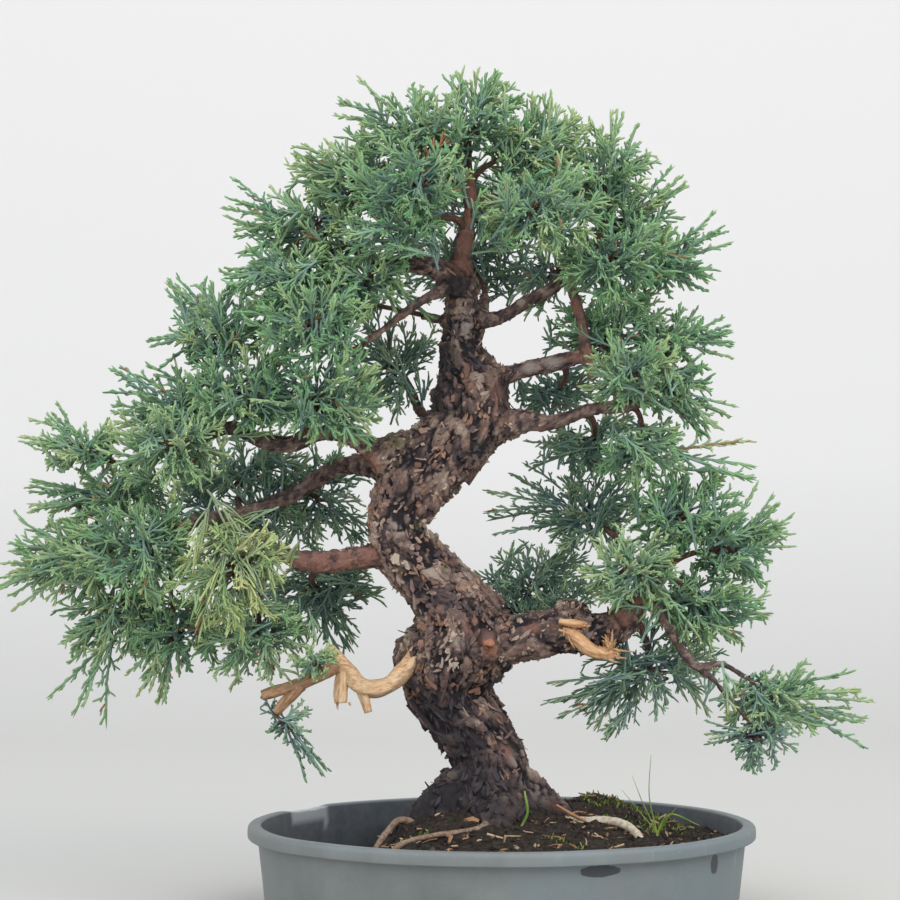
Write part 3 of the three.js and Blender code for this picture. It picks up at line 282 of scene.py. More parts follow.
# Marks on the bark by kind: x, y, z and radius.
RED, MOSS, PAINTED_SHADE, CUT, PALE = range(5)
BARK_MARKS = {
    "red": [
        (0, -14, 268, 9), (0, -16, 256, 9), (-67, -16, 232, 8), (61, -17, 153, 8), (70, -12, 160, 6),
        (-68, -14, 185, 9), (-80, -18, 182, 9), (-92, -22, 181, 9), (-102, -24, 182, 7), (38, -11, 286, 5),
        (27, -5, 54, 7), (3, -13, 84, 7), (-4, -6, 262, 7), (-18, -3, 346, 9), (-16, -4, 359, 9),
        (-20, -3, 333, 9), (-16, -4, 371, 8), (35, -3, 326, 6), (39, -7, 312, 7), (42, -9, 300, 7),
        (44, -10, 288, 6), (46, -10, 277, 5), (36, -8, 165, 4), (-1, -19, 99, 5), (7, -15, 96, 5),
        (12, -11, 88, 6), (-4, -33, 138, 10), (1, -28, 148, 11), (-14, -26, 150, 8), (2, -24, 160, 9),
        (15, -19, 149, 6),
    ],
    "moss": [
        (-54, -12, 243, 9), (-30, -16, 176, 5), (-44, -18, 200, 6),
    ],
    # Painted shade: where the trunk lies in shade, on its left, low down, at the neck, behind the foot and in
    # the small hole.
    "dark": [
        (-36, -13, 112, 13), (-26, -17, 102, 12), (-21, -18, 93, 12), (-17, -19, 84, 12), (-14, -21, 75, 13),
        (-12, -26, 64, 15), (-30, -16, 62, 20), (-33, -16, 98, 15), (-9, -26, 155, 4.2), (-18, -20, 70, 22),
        (-42, -20, 56, 26), (-20, 20, 62, 40), (-22, -10, 120, 13), (-32, -3, 301, 8), (-30, -7, 290, 9),
        (-31, -8, 283, 13), (-35, -7, 271, 13), (1, -8, 270, 9), (-8, -10, 292, 6), (-26, -14, 110, 14),
        (-20, -18, 82, 18), (-36, -16, 66, 20), (-36, -5, 262, 9), (-38, 0, 252, 9), (-28, 2, 284, 12),
        (-30, -4, 270, 12), (-12, -12, 240, 10), (-24, -4, 324, 10), (-28, -8, 258, 9), (4, -8, 122, 12),
    ],
    "cut": [
        (-4, -34, 138, 4.4), (-16.5, -2, 383, 8),
    ],
    "pale": [
        (26, -10, 283, 6), (14, -8, 281, 6), (11, -9, 70, 9), (19, -7, 62, 9), (9, -12, 79, 8),
        (-19, -6, 304, 7), (-17, -7, 296, 6), (-8, -25, 161, 6), (-52, -20, 201, 8), (9, -15, 89, 6),
        (-14, -20, 228, 6), (-11, -10, 281, 3.4), (3, -17, 106, 6), (-22, -24, 140, 6), (46, -20, 148, 6),
    ],
}


# Mesh helpers


def unit(v):
    """Vectors scaled to length 1, along the last axis."""
    return v / np.maximum(np.linalg.norm(v, axis=-1, keepdims=True), 1e-9)


def distance_to(points, place):
    return np.linalg.norm(points - np.array(place), axis=1)


def length_along(points):
    """How far along a line each of its points is."""
    return np.concatenate([[0], np.cumsum(np.linalg.norm(np.diff(points, axis=0), axis=1))])


def add_object(name, points, faces, material=None, smooth=True):
    """A mesh object from points in mm and an array of triangles or quads."""
    points = np.asarray(points, np.float32) * MM
    faces = np.asarray(faces, np.int32)
    sides = faces.shape[1]
    mesh = bpy.data.meshes.new(name)
    mesh.vertices.add(len(points))
    mesh.vertices.foreach_set("co", points.ravel())
    mesh.loops.add(faces.size)
    mesh.loops.foreach_set("vertex_index", faces.ravel())
    mesh.polygons.add(len(faces))
    mesh.polygons.foreach_set("loop_start", np.arange(0, faces.size, sides, dtype=np.int32))
    mesh.polygons.foreach_set("use_smooth", np.full(len(faces), smooth))
    mesh.update(calc_edges=True)
    mesh.validate()
    obj = bpy.data.objects.new(name, mesh)
    bpy.context.scene.collection.objects.link(obj)
    if material:
        mesh.materials.append(material)
    return obj


def store(obj, name, values):
    """A named value at each point of a mesh: one number, a vector or a colour."""
    values = np.asarray(values, np.float32)
    kinds = {1: ("FLOAT", "value"), 3: ("FLOAT_VECTOR", "vector"), 4: ("FLOAT_COLOR", "color")}
    kind, field = kinds[1 if values.ndim == 1 else values.shape[1]]
    layer = obj.data.attributes.new(name, kind, "POINT")
    layer.data.foreach_set(field, values.ravel())


def store_colour(obj, name, red, green, blue):
    store(obj, name, np.column_stack([red, green, blue, np.ones(len(red))]))


def dress(obj):
    """The piece rides on the tree's one body."""
    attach(obj, "root")


def repeated(pattern, count, each):
    """The faces of count copies of a small shape that has each points."""
    copies = np.arange(count)[:, None, None] * each + np.array(pattern)[None]
    return copies.reshape(-1, len(pattern[0]))


def ring_quads(rings, sides):
    """The quads between each ring of points and the next."""
    k = np.arange(sides)
    n = (k + 1) % sides
    return np.vstack([
        np.stack([i * sides + k, i * sides + n, (i + 1) * sides + n, (i + 1) * sides + k], 1)
        for i in range(rings - 1)
    ])


def joined(parts):
    """Several (points, faces) as one."""
    points, faces, start = [], [], 0
    for p, f in parts:
        points.append(p)
        faces.append(f + start)
        start += len(p)
    return np.vstack(points), np.vstack(faces)


# Curves and tubes


def smooth_curve(rows, spacing):
    """Rows of x, y, z, radius about one every spacing mm along a centripetal curve through the given rows."""
    p = np.array(rows, float)
    p = np.vstack([2 * p[0] - p[1], p, 2 * p[-1] - p[-2]])
    out = []
    for i in range(1, len(p) - 2):
        a, b, c, d = p[i - 1 : i + 3]
        knots = [0.0]
        for u, v in ((a, b), (b, c), (c, d)):
            knots.append(knots[-1] + max(np.linalg.norm((v - u)[:3]), 1e-6) ** 0.5)
        t0, t1, t2, t3 = knots
        count = max(1, round(np.linalg.norm((c - b)[:3]) / spacing))
        for k in range(count):
            s = t1 + (t2 - t1) * k / count
            ab = (a * (t1 - s) + b * (s - t0)) / (t1 - t0)
            bc = (b * (t2 - s) + c * (s - t1)) / (t2 - t1)
            cd = (c * (t3 - s) + d * (s - t2)) / (t3 - t2)
            abc = (ab * (t2 - s) + bc * (s - t0)) / (t2 - t0)
            bcd = (bc * (t3 - s) + cd * (s - t1)) / (t3 - t1)
            out.append((abc * (t2 - s) + bcd * (s - t1)) / (t2 - t1))
    out.append(p[-2])
    return np.array(out)


def carried_frames(points):
    """Tangents, normals and binormals carried along a line without twist."""
    tangent = unit(np.gradient(points, axis=0))
    last = np.array([0.0, -1.0, 0.0]) if abs(tangent[0][1]) < 0.9 else np.array([1.0, 0.0, 0.0])
    normal = np.zeros_like(points)
    for i, t in enumerate(tangent):
        last = unit(last - t * last.dot(t))
        normal[i] = last
    return tangent, normal, np.cross(tangent, normal)


def tube(rows, sides, relief=None):
    """Points and triangles of a closed tube along dense rows. relief(angle, length) scales the radius."""
    centre, radius = rows[:, :3], rows[:, 3]
    _, normal, binormal = carried_frames(centre)
    length = length_along(centre)
    angle = np.arange(sides) / sides * 2 * math.pi
    reach = radius[:, None] * (relief(angle[None, :], length[:, None]) if relief else 1.0)
    cosine, sine = np.cos(angle)[None, :, None], np.sin(angle)[None, :, None]
    across = cosine * normal[:, None] + sine * binormal[:, None]
    rings = centre[:, None] + reach[:, :, None] * across
    points = np.vstack([rings.reshape(-1, 3), centre[:1], centre[-1:]])
    faces = []
    k = np.arange(sides)
    n = (k + 1) % sides
    for i in range(len(rows) - 1):
        lower, upper = i * sides, (i + 1) * sides
        faces.append(np.stack([lower + k, lower + n, upper + n], 1))
        faces.append(np.stack([lower + k, upper + n, upper + k], 1))
    first, last = len(points) - 2, len(points) - 1
    top = (len(rows) - 1) * sides
    faces.append(np.stack([n, k, np.full(sides, first)], 1))
    faces.append(np.stack([top + k, top + n, np.full(sides, last)], 1))
    return points, np.vstack(faces)


# Node materials


class Nodes:
    """A material's node tree, with short calls for the nodes used here."""

    def __init__(self, name, roughness):
        self.material = bpy.data.materials.new(name)
        self.material.use_nodes = True
        self.tree = self.material.node_tree
        self.shader = self.tree.nodes["Principled BSDF"]
        self.shader.inputs["Roughness"].default_value = roughness
        self.shader.inputs["Specular IOR Level"].default_value = 0.3

    def link(self, source, target):
        self.tree.links.new(source, target)

    def add(self, kind, **settings):
        node = self.tree.nodes.new(kind)
        for key, value in settings.items():
            setattr(node, key, value)
        return node

    def attribute(self, name, output="Vector"):
        return self.add("ShaderNodeAttribute", attribute_name=name).outputs[output]

    def place(self, stretch=(1, 1, 1)):
        """The object's own coordinates in mm, stretched."""
        node = self.add("ShaderNodeMapping")
        node.inputs["Scale"].default_value = [s / MM for s in stretch]
        self.link(self.add("ShaderNodeTexCoord").outputs["Object"], node.inputs["Vector"])
        return node.outputs["Vector"]

    def noise(self, place, scale, detail, roughness=0.6, distortion=0.0):
        node = self.add("ShaderNodeTexNoise")
        self.link(place, node.inputs["Vector"])
        settings = {"Scale": scale, "Detail": detail, "Roughness": roughness, "Distortion": distortion}
        for key, value in settings.items():
            node.inputs[key].default_value = value
        return node.outputs["Fac"]

    def blob(self, centre, reach, edge, rough=0.0):
        """1 inside an ellipsoid in mm and 0 outside it, with a rough outline."""
        node = self.add("ShaderNodeMapping", vector_type="TEXTURE")
        node.inputs["Location"].default_value = centre
        node.inputs["Scale"].default_value = reach
        self.link(self.place(), node.inputs["Vector"])
        length = self.add("ShaderNodeVectorMath", operation="LENGTH")
        self.link(node.outputs["Vector"], length.inputs[0])
        distance = length.outputs["Value"]
        if rough:
            wave = self.times(self.noise(self.place(), 0.35, 3), 2 * rough)
            distance = self.minus(self.plus(distance, wave), rough)
        return self.step(distance, 1 + edge, 1 - edge)

    def ramp(self, factor, stops):
        """A colour ramp: stops are (position, colour)."""
        node = self.add("ShaderNodeValToRGB")
        while len(node.color_ramp.elements) < len(stops):
            node.color_ramp.elements.new(0.5)
        for element, (position, colour) in zip(node.color_ramp.elements, stops):
            element.position = position
            element.color = (*colour, 1)
        self.link(factor, node.inputs["Fac"])
        return node.outputs["Color"]

    def step(self, factor, low, high):
        """0 below low and 1 above high."""
        node = self.add("ShaderNodeMapRange", interpolation_type="SMOOTHSTEP")
        self.link(factor, node.inputs["Value"])
        node.inputs["From Min"].default_value = low
        node.inputs["From Max"].default_value = high
        return node.outputs["Result"]

    def fill(self, socket, value):
        """A socket takes a number, a colour or what another node gives."""
        if isinstance(value, (int, float)):
            socket.default_value = value
        elif isinstance(value, tuple):
            socket.default_value = (*value, 1)
        else:
            self.link(value, socket)

    def math(self, operation, a, b):
        node = self.add("ShaderNodeMath", operation=operation)
        for socket, value in zip(node.inputs, (a, b)):
            self.fill(socket, value)
        return node.outputs["Value"]

    def times(self, a, b):
        return self.math("MULTIPLY", a, b)

    def plus(self, a, b):
        return self.math("ADD", a, b)

    def minus(self, a, b):
        return self.math("SUBTRACT", a, b)

    def swing(self, noise, reach):
        """A noise about 0 instead of about a half, reach times as strong."""
        return self.times(self.minus(noise, 0.5), reach)

    def mix(self, factor, a, b):
        node = self.add("ShaderNodeMix", data_type="RGBA")
        for name, value in (("Factor_Float", factor), ("A_Color", a), ("B_Color", b)):
            self.fill(next(s for s in node.inputs if s.identifier == name), value)
        return next(s for s in node.outputs if s.identifier == "Result_Color")

    def over(self, colour, mask, other, strength=None):
        """The colour with another one laid over it where the mask is 1."""
        return self.mix(mask if strength is None else self.times(mask, strength), colour, other)

    def split(self, colour):
        node = self.add("ShaderNodeSeparateColor")
        self.link(colour, node.inputs["Color"])
        return node.outputs

    def stored(self, name):
        """The red, green and blue of a stored colour."""
        return self.split(self.attribute(name, "Color"))

    def finish(self, colour, height=None, strength=0.5, distance=0.5, roughness=None):
        self.link(colour, self.shader.inputs["Base Color"])
        if roughness is not None:
            self.link(roughness, self.shader.inputs["Roughness"])
        if height is not None:
            bump = self.add("ShaderNodeBump")
            bump.inputs["Strength"].default_value = strength
            bump.inputs["Distance"].default_value = distance * MM
            self.link(height, bump.inputs["Height"])
            self.link(bump.outputs["Normal"], self.shader.inputs["Normal"])
        return self.material


# Colours are linear red, green and blue. A pair is the dark and the light end, and a ramp has positions too.
BARK_RAMP = [
    (0.08, (0.054, 0.044, 0.047)), (0.3, (0.095, 0.068, 0.066)), (0.48, (0.16, 0.105, 0.092)),
    (0.64, (0.24, 0.16, 0.132)), (0.8, (0.32, 0.225, 0.18)), (0.97, (0.43, 0.34, 0.27)),
]
CHIP_RAMP = [
    (0.05, (0.056, 0.046, 0.052)), (0.3, (0.115, 0.08, 0.076)), (0.55, (0.225, 0.15, 0.125)),
    (0.75, (0.35, 0.25, 0.2)), (0.95, (0.5, 0.4, 0.31)),
]
RED_BARK = ((0.15, 0.065, 0.05), (0.46, 0.24, 0.18))
PALE_BARK = ((0.24, 0.18, 0.16), (0.48, 0.4, 0.35))
CUT_BARK = ((0.28, 0.08, 0.03), (0.62, 0.27, 0.1))
RUSTY_CHIP = ((0.15, 0.068, 0.045), (0.44, 0.24, 0.15))
WARM_BARK = (0.26, 0.11, 0.05)
LICHEN = (0.36, 0.34, 0.26)
MOSSY_BARK = (0.13, 0.15, 0.06)
CRACK_SHADE = (0.028, 0.022, 0.025)
SHADED_BARK = (0.036, 0.032, 0.034)
CHIP_EDGE_SHADE = (0.03, 0.024, 0.027)

BARE_WOOD_RAMP = [(0.22, (0.3, 0.12, 0.045)), (0.42, (0.6, 0.36, 0.18)), (0.7, (0.78, 0.6, 0.41))]
TORN_WOOD = ((0.5, 0.17, 0.05), (0.85, 0.5, 0.24))
TORN_PLACE = ((46, -21, 143), (20, 12, 14), 0.2)
OLD_WOOD = ((0.16, 0.075, 0.045), (0.4, 0.21, 0.11))
ROOT_RAMP = [(0.3, (0.11, 0.07, 0.05)), (0.5, (0.24, 0.16, 0.11)), (0.7, (0.36, 0.26, 0.18))]
PALE_ROOT_RAMP = [(0.3, (0.32, 0.25, 0.18)), (0.5, (0.56, 0.48, 0.36)), (0.7, (0.7, 0.62, 0.47))]
PALE_ROOT_PLACE = ((58, 2, 44), (24, 30, 18), 0.1)
TWIG_RAMP = [(0.35, (0.055, 0.03, 0.025)), (0.6, (0.12, 0.062, 0.045)), (0.75, (0.2, 0.1, 0.06))]
TWIG_FLECK = (0.24, 0.15, 0.1)

# The inner, the middle and the tip colour of the cords of each kind of pad. The dark kind is a darker, bluer
# copy of the green: painted shade for the pads behind and under the tree.
CORD_COLOURS = {
    "green": ("foliage_green", (0.182, 0.285, 0.29), (0.207, 0.336, 0.233), (0.256, 0.412, 0.16)),
    "dark": ("foliage_shade", (0.155, 0.23, 0.255), (0.195, 0.3, 0.25), (0.26, 0.4, 0.2)),
    "young": ("foliage_young", (0.2, 0.27, 0.2), (0.3, 0.39, 0.21), (0.45, 0.52, 0.19)),
}
DEAD_CORD = ((0.2, 0.09, 0.05), (0.42, 0.22, 0.11))

POT_RAMP = [(0.3, (0.138, 0.153, 0.146)), (0.5, (0.175, 0.188, 0.182)), (0.7, (0.215, 0.225, 0.222))]
POT_ROUGHNESS = [(0.3, (0.42, 0.42, 0.42)), (0.7, (0.62, 0.62, 0.62))]
INNER_WALL_SHADE_RAMP = [(0.35, (0.075, 0.081, 0.09)), (0.65, (0.125, 0.13, 0.135))]
POT_COOL = (0.15, 0.19, 0.2)
POT_STREAK = (0.36, 0.37, 0.36)
POT_DUST = (0.42, 0.4, 0.37)
POT_DARK_PATCH = (0.03, 0.031, 0.034)
POT_RUST = (0.42, 0.2, 0.07)
POT_BROKEN = (0.55, 0.56, 0.56)
# Darker patches on the pot, one under the lip of the rim: the centre, the reach each way, the softness of the
# edge and its roughness.
DARK_PATCHES = [((45.5, -118, 36.6), (10.5, 14, 2.9), 0.06, 0.25), ((104, -68, 34), (2.2, 8, 5), 0.1, 0.3)]

SOIL_RAMP = [(0.35, (0.012, 0.009, 0.008)), (0.55, (0.035, 0.025, 0.018)), (0.75, (0.085, 0.06, 0.042))]
SOIL_MOSS = (0.05, 0.06, 0.018)
GRASS_RAMP = [(0.35, (0.1, 0.2, 0.03)), (0.65, (0.3, 0.36, 0.08))]
CRUMB_COLOURS = [(0.012, 0.009, 0.008), (0.045, 0.03, 0.022), (0.14, 0.09, 0.06)]
STRAW_COLOURS = [(0.12, 0.055, 0.035), (0.36, 0.19, 0.1), (0.55, 0.44, 0.28)]
MOSS_COLOURS = [(0.05, 0.085, 0.015), (0.14, 0.2, 0.03), (0.27, 0.33, 0.06)]
SHRED_COLOURS = [(0.05, 0.035, 0.035), (0.15, 0.09, 0.075), (0.34, 0.22, 0.16), (0.5, 0.36, 0.25)]
STUB_COLOURS = [(0.06, 0.04, 0.04), (0.17, 0.09, 0.075), (0.46, 0.2, 0.11), (0.13, 0.07, 0.05)]

# Painted light: the backdrop's colour lightens with height.
BACKDROP_LIGHT_RAMP = [(0.0, (0.54, 0.52, 0.477)), (0.25, (0.684, 0.647, 0.6)), (1.0, (0.788, 0.738, 0.684))]
BACKDROP_RISE = 900.0


def bark_material():
    """Scaly bark: each plate has its own brown, from nearly black to a pinkish grey, with painted shade in
    its cracks and where the trunk lies in shade.
    """
    n = Nodes("bark", 0.92)
    grain = n.attribute("grain")
    marks, patches = n.stored("marks"), n.stored("patches")
    broad = n.noise(grain, 0.09, 3)
    fine = n.noise(grain, 0.55, 5, 0.75, 0.5)
    plate = n.plus(n.plus(n.attribute("plate", "Fac"), n.swing(fine, 0.9)), n.swing(broad, 0.8))
    colour = n.ramp(plate, BARK_RAMP)
    colour = n.over(colour, n.step(n.noise(grain, 0.13, 4, 0.7, 0.5), 0.56, 0.68), WARM_BARK, 0.55)
    colour = n.over(colour, n.step(n.noise(n.place(), 0.9, 2, 0.5), 0.68, 0.74), LICHEN, 0.4)
    colour = n.over(colour, marks["Red"], n.mix(fine, *RED_BARK))
    colour = n.over(colour, n.times(marks["Green"], n.step(fine, 0.35, 0.6)), MOSSY_BARK)
    colour = n.over(colour, patches["Green"], n.mix(fine, *PALE_BARK))
    # Painted shade in the cracks, where the relief is low, less on the red bark.
    crack = n.step(n.attribute("height", "Fac"), 0.42, 0.12)
    colour = n.over(colour, n.times(crack, n.minus(1.0, n.times(marks["Red"], 0.8))), CRACK_SHADE)
    # Painted shade where the trunk lies in shade.
    colour = n.over(colour, marks["Blue"], SHADED_BARK, 0.86)
    colour = n.over(colour, patches["Red"], n.mix(fine, *CUT_BARK))
    return n.finish(colour, n.plus(fine, n.times(n.noise(grain, 1.5, 4, 0.75), 0.8)), 1.0, 1.2)


def bark_chip_material():
    """Plates of bark: each has its own tone, and painted shade darkens their sunk sides."""
    n = Nodes("bark_chip", 0.9)
    tint = n.stored("tint")
    fine = n.noise(n.place(), 0.9, 5, 0.8)
    colour = n.ramp(n.plus(tint["Red"], n.swing(fine, 1.1)), CHIP_RAMP)
    colour = n.over(colour, n.step(tint["Green"], 0.6, 0.95), n.mix(fine, *RUSTY_CHIP), 0.75)
    # Painted shade on the sunk sides of the plates.
    colour = n.over(colour, tint["Blue"], CHIP_EDGE_SHADE, 0.85)
    return n.finish(colour, fine, 0.8, 0.5)


def bare_wood_material():
    """Stripped wood: warm streaks along the grain, redder where it was torn and dark where it is old."""
    n = Nodes("bare_wood", 0.7)
    streak = n.noise(n.attribute("grain"), 0.8, 4)
    colour = n.ramp(streak, BARE_WOOD_RAMP)
    colour = n.over(colour, n.blob(*TORN_PLACE), n.mix(streak, *TORN_WOOD), 0.5)
    colour = n.over(colour, n.attribute("marks", "Fac"), n.mix(n.step(streak, 0.3, 0.7), *OLD_WOOD))
    return n.finish(colour, streak, 0.7, 0.5)


def root_material():
    n = Nodes("root_skin", 0.8)
    fine = n.noise(n.place(), 0.5, 4)
    colour = n.over(n.ramp(fine, ROOT_RAMP), n.blob(*PALE_ROOT_PLACE), n.ramp(fine, PALE_ROOT_RAMP))
    return n.finish(colour, fine, 0.5, 0.5)


def twig_material():
    n = Nodes("twig", 0.85)
    fine = n.noise(n.place(), 0.8, 3)
    colour = n.ramp(n.noise(n.place(), 0.05, 2), TWIG_RAMP)
    return n.finish(n.over(colour, n.step(fine, 0.5, 0.7), TWIG_FLECK), fine, 0.5, 0.3)


def foliage_material(name, inner, middle, tip):
    """Scale-leaved cords: darker within, lighter and warmer at the tips, with a fine mottle of scales. The
    darkening deeper in the pad is painted shade.
    """
    n = Nodes(name, 0.62)
    n.shader.inputs["Specular IOR Level"].default_value = 0.35
    tint = n.stored("tint")
    shift = n.add("ShaderNodeHueSaturation")
    n.link(n.plus(n.times(tint["Red"], -0.115), 0.553), shift.inputs["Hue"])
    n.link(n.plus(n.times(tint["Red"], 0.42), 0.79), shift.inputs["Value"])
    n.link(n.ramp(tint["Green"], [(0.0, inner), (0.55, middle), (1.0, tip)]), shift.inputs["Color"])
    scales = n.noise(n.place(), 0.9, 2)
    colour = n.over(shift.outputs["Color"], n.step(scales, 0.45, 0.7), tip, 0.25)
    colour = n.over(colour, tint["Blue"], n.mix(scales, *DEAD_CORD))
    return n.finish(colour, scales, 0.35, 0.25)


def pot_material():
    """Grey plastic with clouds, streaks, dust, darker patches, rust specks and painted shade on the inner
    wall.
    """
    n = Nodes("pot_plastic", 0.55)
    place, marks = n.place(), n.stored("marks")
    cloud = n.noise(place, 0.02, 4)
    colour = n.ramp(cloud, POT_RAMP)
    colour = n.over(colour, n.step(n.noise(place, 0.012, 2), 0.5, 0.62), POT_COOL, 0.5)
    streak = n.noise(n.place((1, 1, 0.09)), 0.1, 4, 0.7)
    colour = n.over(colour, n.step(streak, 0.6, 0.74), POT_STREAK, 0.28)
    colour = n.over(colour, n.step(n.noise(place, 0.5, 4, 0.7), 0.6, 0.75), POT_DUST, 0.25)
    # A darker patch under the lip of the rim, and a narrow one lower on the right.
    colour = n.over(colour, n.math("MAXIMUM", *(n.blob(*stain) for stain in DARK_PATCHES)), POT_DARK_PATCH, 0.85)
    # Painted shade on the inner wall.
    colour = n.over(colour, marks["Red"], n.ramp(n.noise(place, 0.1, 4, 0.7), INNER_WALL_SHADE_RAMP))
    rust = n.times(n.step(n.noise(place, 0.35, 3, 0.7), 0.66, 0.72), marks["Green"])
    colour = n.over(n.over(colour, rust, POT_RUST), marks["Blue"], POT_BROKEN)
    return n.finish(colour, n.noise(place, 0.6, 3), 0.15, 0.3, n.ramp(cloud, POT_ROUGHNESS))


def soil_material():
    n = Nodes("soil", 0.95)
    place = n.place()
    colour = n.ramp(n.noise(place, 0.35, 5, 0.7), SOIL_RAMP)
    colour = n.over(colour, n.step(n.noise(place, 0.06, 3), 0.56, 0.7), SOIL_MOSS, 0.3)
    return n.finish(colour, n.noise(place, 0.8, 4, 0.75), 0.9, 1.0)


def grass_material():
    n = Nodes("grass", 0.6)
    return n.finish(n.ramp(n.noise(n.place(), 0.08, 2), GRASS_RAMP))


def tinted_material(name, colours, roughness=0.85):
    """A material whose colour runs along the stored tint, with a fine mottle."""
    n = Nodes(name, roughness)
    colour = n.ramp(n.stored("tint")["Red"], [(i / (len(colours) - 1), c) for i, c in enumerate(colours)])
    fine = n.noise(n.place(), 1.1, 3)
    colour = n.over(colour, n.step(fine, 0.4, 0.7), tuple(c * 0.5 for c in colours[0]), 0.35)
    return n.finish(colour, fine, 0.5, 0.3)


def backdrop_material():
    """A matt surface whose colour lightens with its height: a painted gradient of light."""
    n = Nodes("backdrop", 1.0)
    n.shader.inputs["Specular IOR Level"].default_value = 0.0
    rise = n.add("ShaderNodeSeparateXYZ")
    n.link(n.place(), rise.inputs["Vector"])
    return n.finish(n.ramp(n.math("DIVIDE", rise.outputs["Z"], BACKDROP_RISE), BACKDROP_LIGHT_RAMP))


# Trunk and limbs


# The lines that the bark covers: the trunk, its foot and every limb but the stripped ones.
BARK_LINES = [TRUNK]
BARK_LINES += [rows for name, rows in LIMBS.items() if not name.startswith("jin_")]
BARK_LINES += [rows for name, rows in ROOTS.items() if name.startswith("foot_")]
TRUNK_SIDES = 48
LIMB_SIDES = 20
LINE_SPACING = 2.5
GRAIN_OFFSET = 130.0
TWIST_LENGTH = 60
CHUNK = 4000
VOXEL = 1.27
RELAX_ROUNDS = 3
FULL_RELIEF_RADIUS = 17
GRAIN_STRETCH = 0.55
FOOT_HEIGHT = 38

# A small dark hole in the swelling, and the sawn stub next to it.
HOLE_PLACE = (-9, -26, 155)
HOLE_RADIUS = 4.5
HOLE_DEPTH = 6
STUB_PLACE = (-4, -32, 138)
STUB_CLEARANCE = 8.5
STUB_SIDES = 14
STUB_ROWS = [
    (-7.5, -28, 144, 5.0), (-7.3, -31, 142.5, 4.2), (-7, -33.2, 141, 3.3), (-6.8, -34.8, 140.2, 2.7),
    (-6.8, -35.3, 140, 2.1), (-6.8, -34.8, 140, 1.4), (-6.8, -34.5, 140, 0.5),
]
STUB_TONES = [0.1, 0.2, 0.35, 0.6, 0.7, 1.0, 1.0]

CHIP_COUNT = 4700
CHIP_CORNERS = 5
CHIP_SINK = 1.1
# Chips below the first height are longer and darker, the darkness partly the bark's own and partly painted
# shade; above the second they are darker as painted shade under the crown.
DARK_BELOW = 128
SHADED_ABOVE = 258
SHRED_COUNT = 420
SHRED_LEAST_LIMB = 6
SHRED_LEAST_HEIGHT = 58
SHRED_THICKNESS = 0.3
SHRED_FACES = [
    (0, 1, 3, 2), (2, 3, 5, 4), (7, 6, 8, 9), (9, 8, 10, 11), (0, 2, 8, 6), (2, 4, 10, 8),
    (3, 1, 7, 9), (5, 3, 9, 11), (4, 5, 11, 10), (1, 0, 6, 7),
]


def skeleton():
    """Dense samples of every thick line: centre, radius, frame, and length along it with its offset."""
    samples = []
    for i, rows in enumerate(BARK_LINES):
        dense = smooth_curve(rows, LINE_SPACING)
        centre = dense[:, :3]
        length = length_along(centre) + GRAIN_OFFSET * i
        samples.append(np.column_stack([dense, *carried_frames(centre), length]))
    return np.vstack(samples)


def along_grain(points):
    """Each point's place across and along the grain, in mm, and its limb's radius and direction."""
    bones = skeleton()
    grain, direction = np.zeros((len(points), 3)), np.zeros((len(points), 3))
    thickness = np.zeros(len(points))
    for start in range(0, len(points), CHUNK):
        part = slice(start, start + CHUNK)
        away = points[part, None] - bones[None, :, :3]
        bone = bones[np.argmin(np.linalg.norm(away, axis=2) - bones[:, 3], axis=1)]
        offset = points[part] - bone[:, :3]
        length = bone[:, 13] + np.sum(offset * bone[:, 4:7], axis=1)
        x, y = np.sum(offset * bone[:, 7:10], axis=1), np.sum(offset * bone[:, 10:13], axis=1)
        twist = length / TWIST_LENGTH
        grain[part, 0] = x * np.cos(twist) - y * np.sin(twist)
        grain[part, 1] = x * np.sin(twist) + y * np.cos(twist)
        grain[part, 2] = length
        thickness[part] = bone[:, 3]
        direction[part] = bone[:, 4:7]
    return grain, thickness, direction


def scales_at(x, y, z, bend, width, length, key):
    """Scales of one size at a place: how far inside one it lies, and that scale's own value from 0 to 1."""
    place = Vector(((x + bend[0]) / width, (y + bend[1]) / width, (z + bend[2]) / length))
    far, near = noise.voronoi(place)
    return far[1] - far[0], 0.5 + 0.5 * noise.cell(near[0] * key)


def bark_relief(grain, thickness):
    """How far the bark stands out at each point, in mm, and the value of the plate there, from 0 to 1.

    Scaly plates of uneven height with deep cracks between them, smaller scales on them, and long furrows."""
    relief, plate = np.zeros(len(grain)), np.zeros(len(grain))
    finer = grain / np.clip(thickness / 12, 0.42, 1)[:, None]
    for i, (x, y, z) in enumerate(finer.tolist()):
        bend = noise.noise_vector(Vector((x / 6, y / 6, z / 8))) * 2.6
        swell = noise.noise(Vector((x / 17, y / 17, z / 24)))
        furrow = noise.noise(Vector((x / 7, y / 7, z / 34)))
        inside, value = scales_at(x, y, z, bend, 8, 12, 53)
        inside_small, small = scales_at(x, y, z, (bend.z, bend.x, bend.y), 3.6, 5, 41)
        crack, gap = min(inside * 3.2, 1.0), min(inside_small * 2.6, 1.0)
        relief[i] = (
            2.1 * swell + 1.9 * (value - 0.5) - 1.9 * (1 - crack) + 0.9 * (small - 0.5) - 0.7 * (1 - gap)
            - 1.5 * max(0.0, 1 - abs(furrow) * 8) + 0.6
        )
        plate[i] = 0.62 * value + 0.38 * small
    return relief * relief_share(thickness), plate


def relief_share(thickness):
    """Thin limbs have shallow bark."""
    return np.clip(thickness / FULL_RELIEF_RADIUS, 0.2, 1.0)


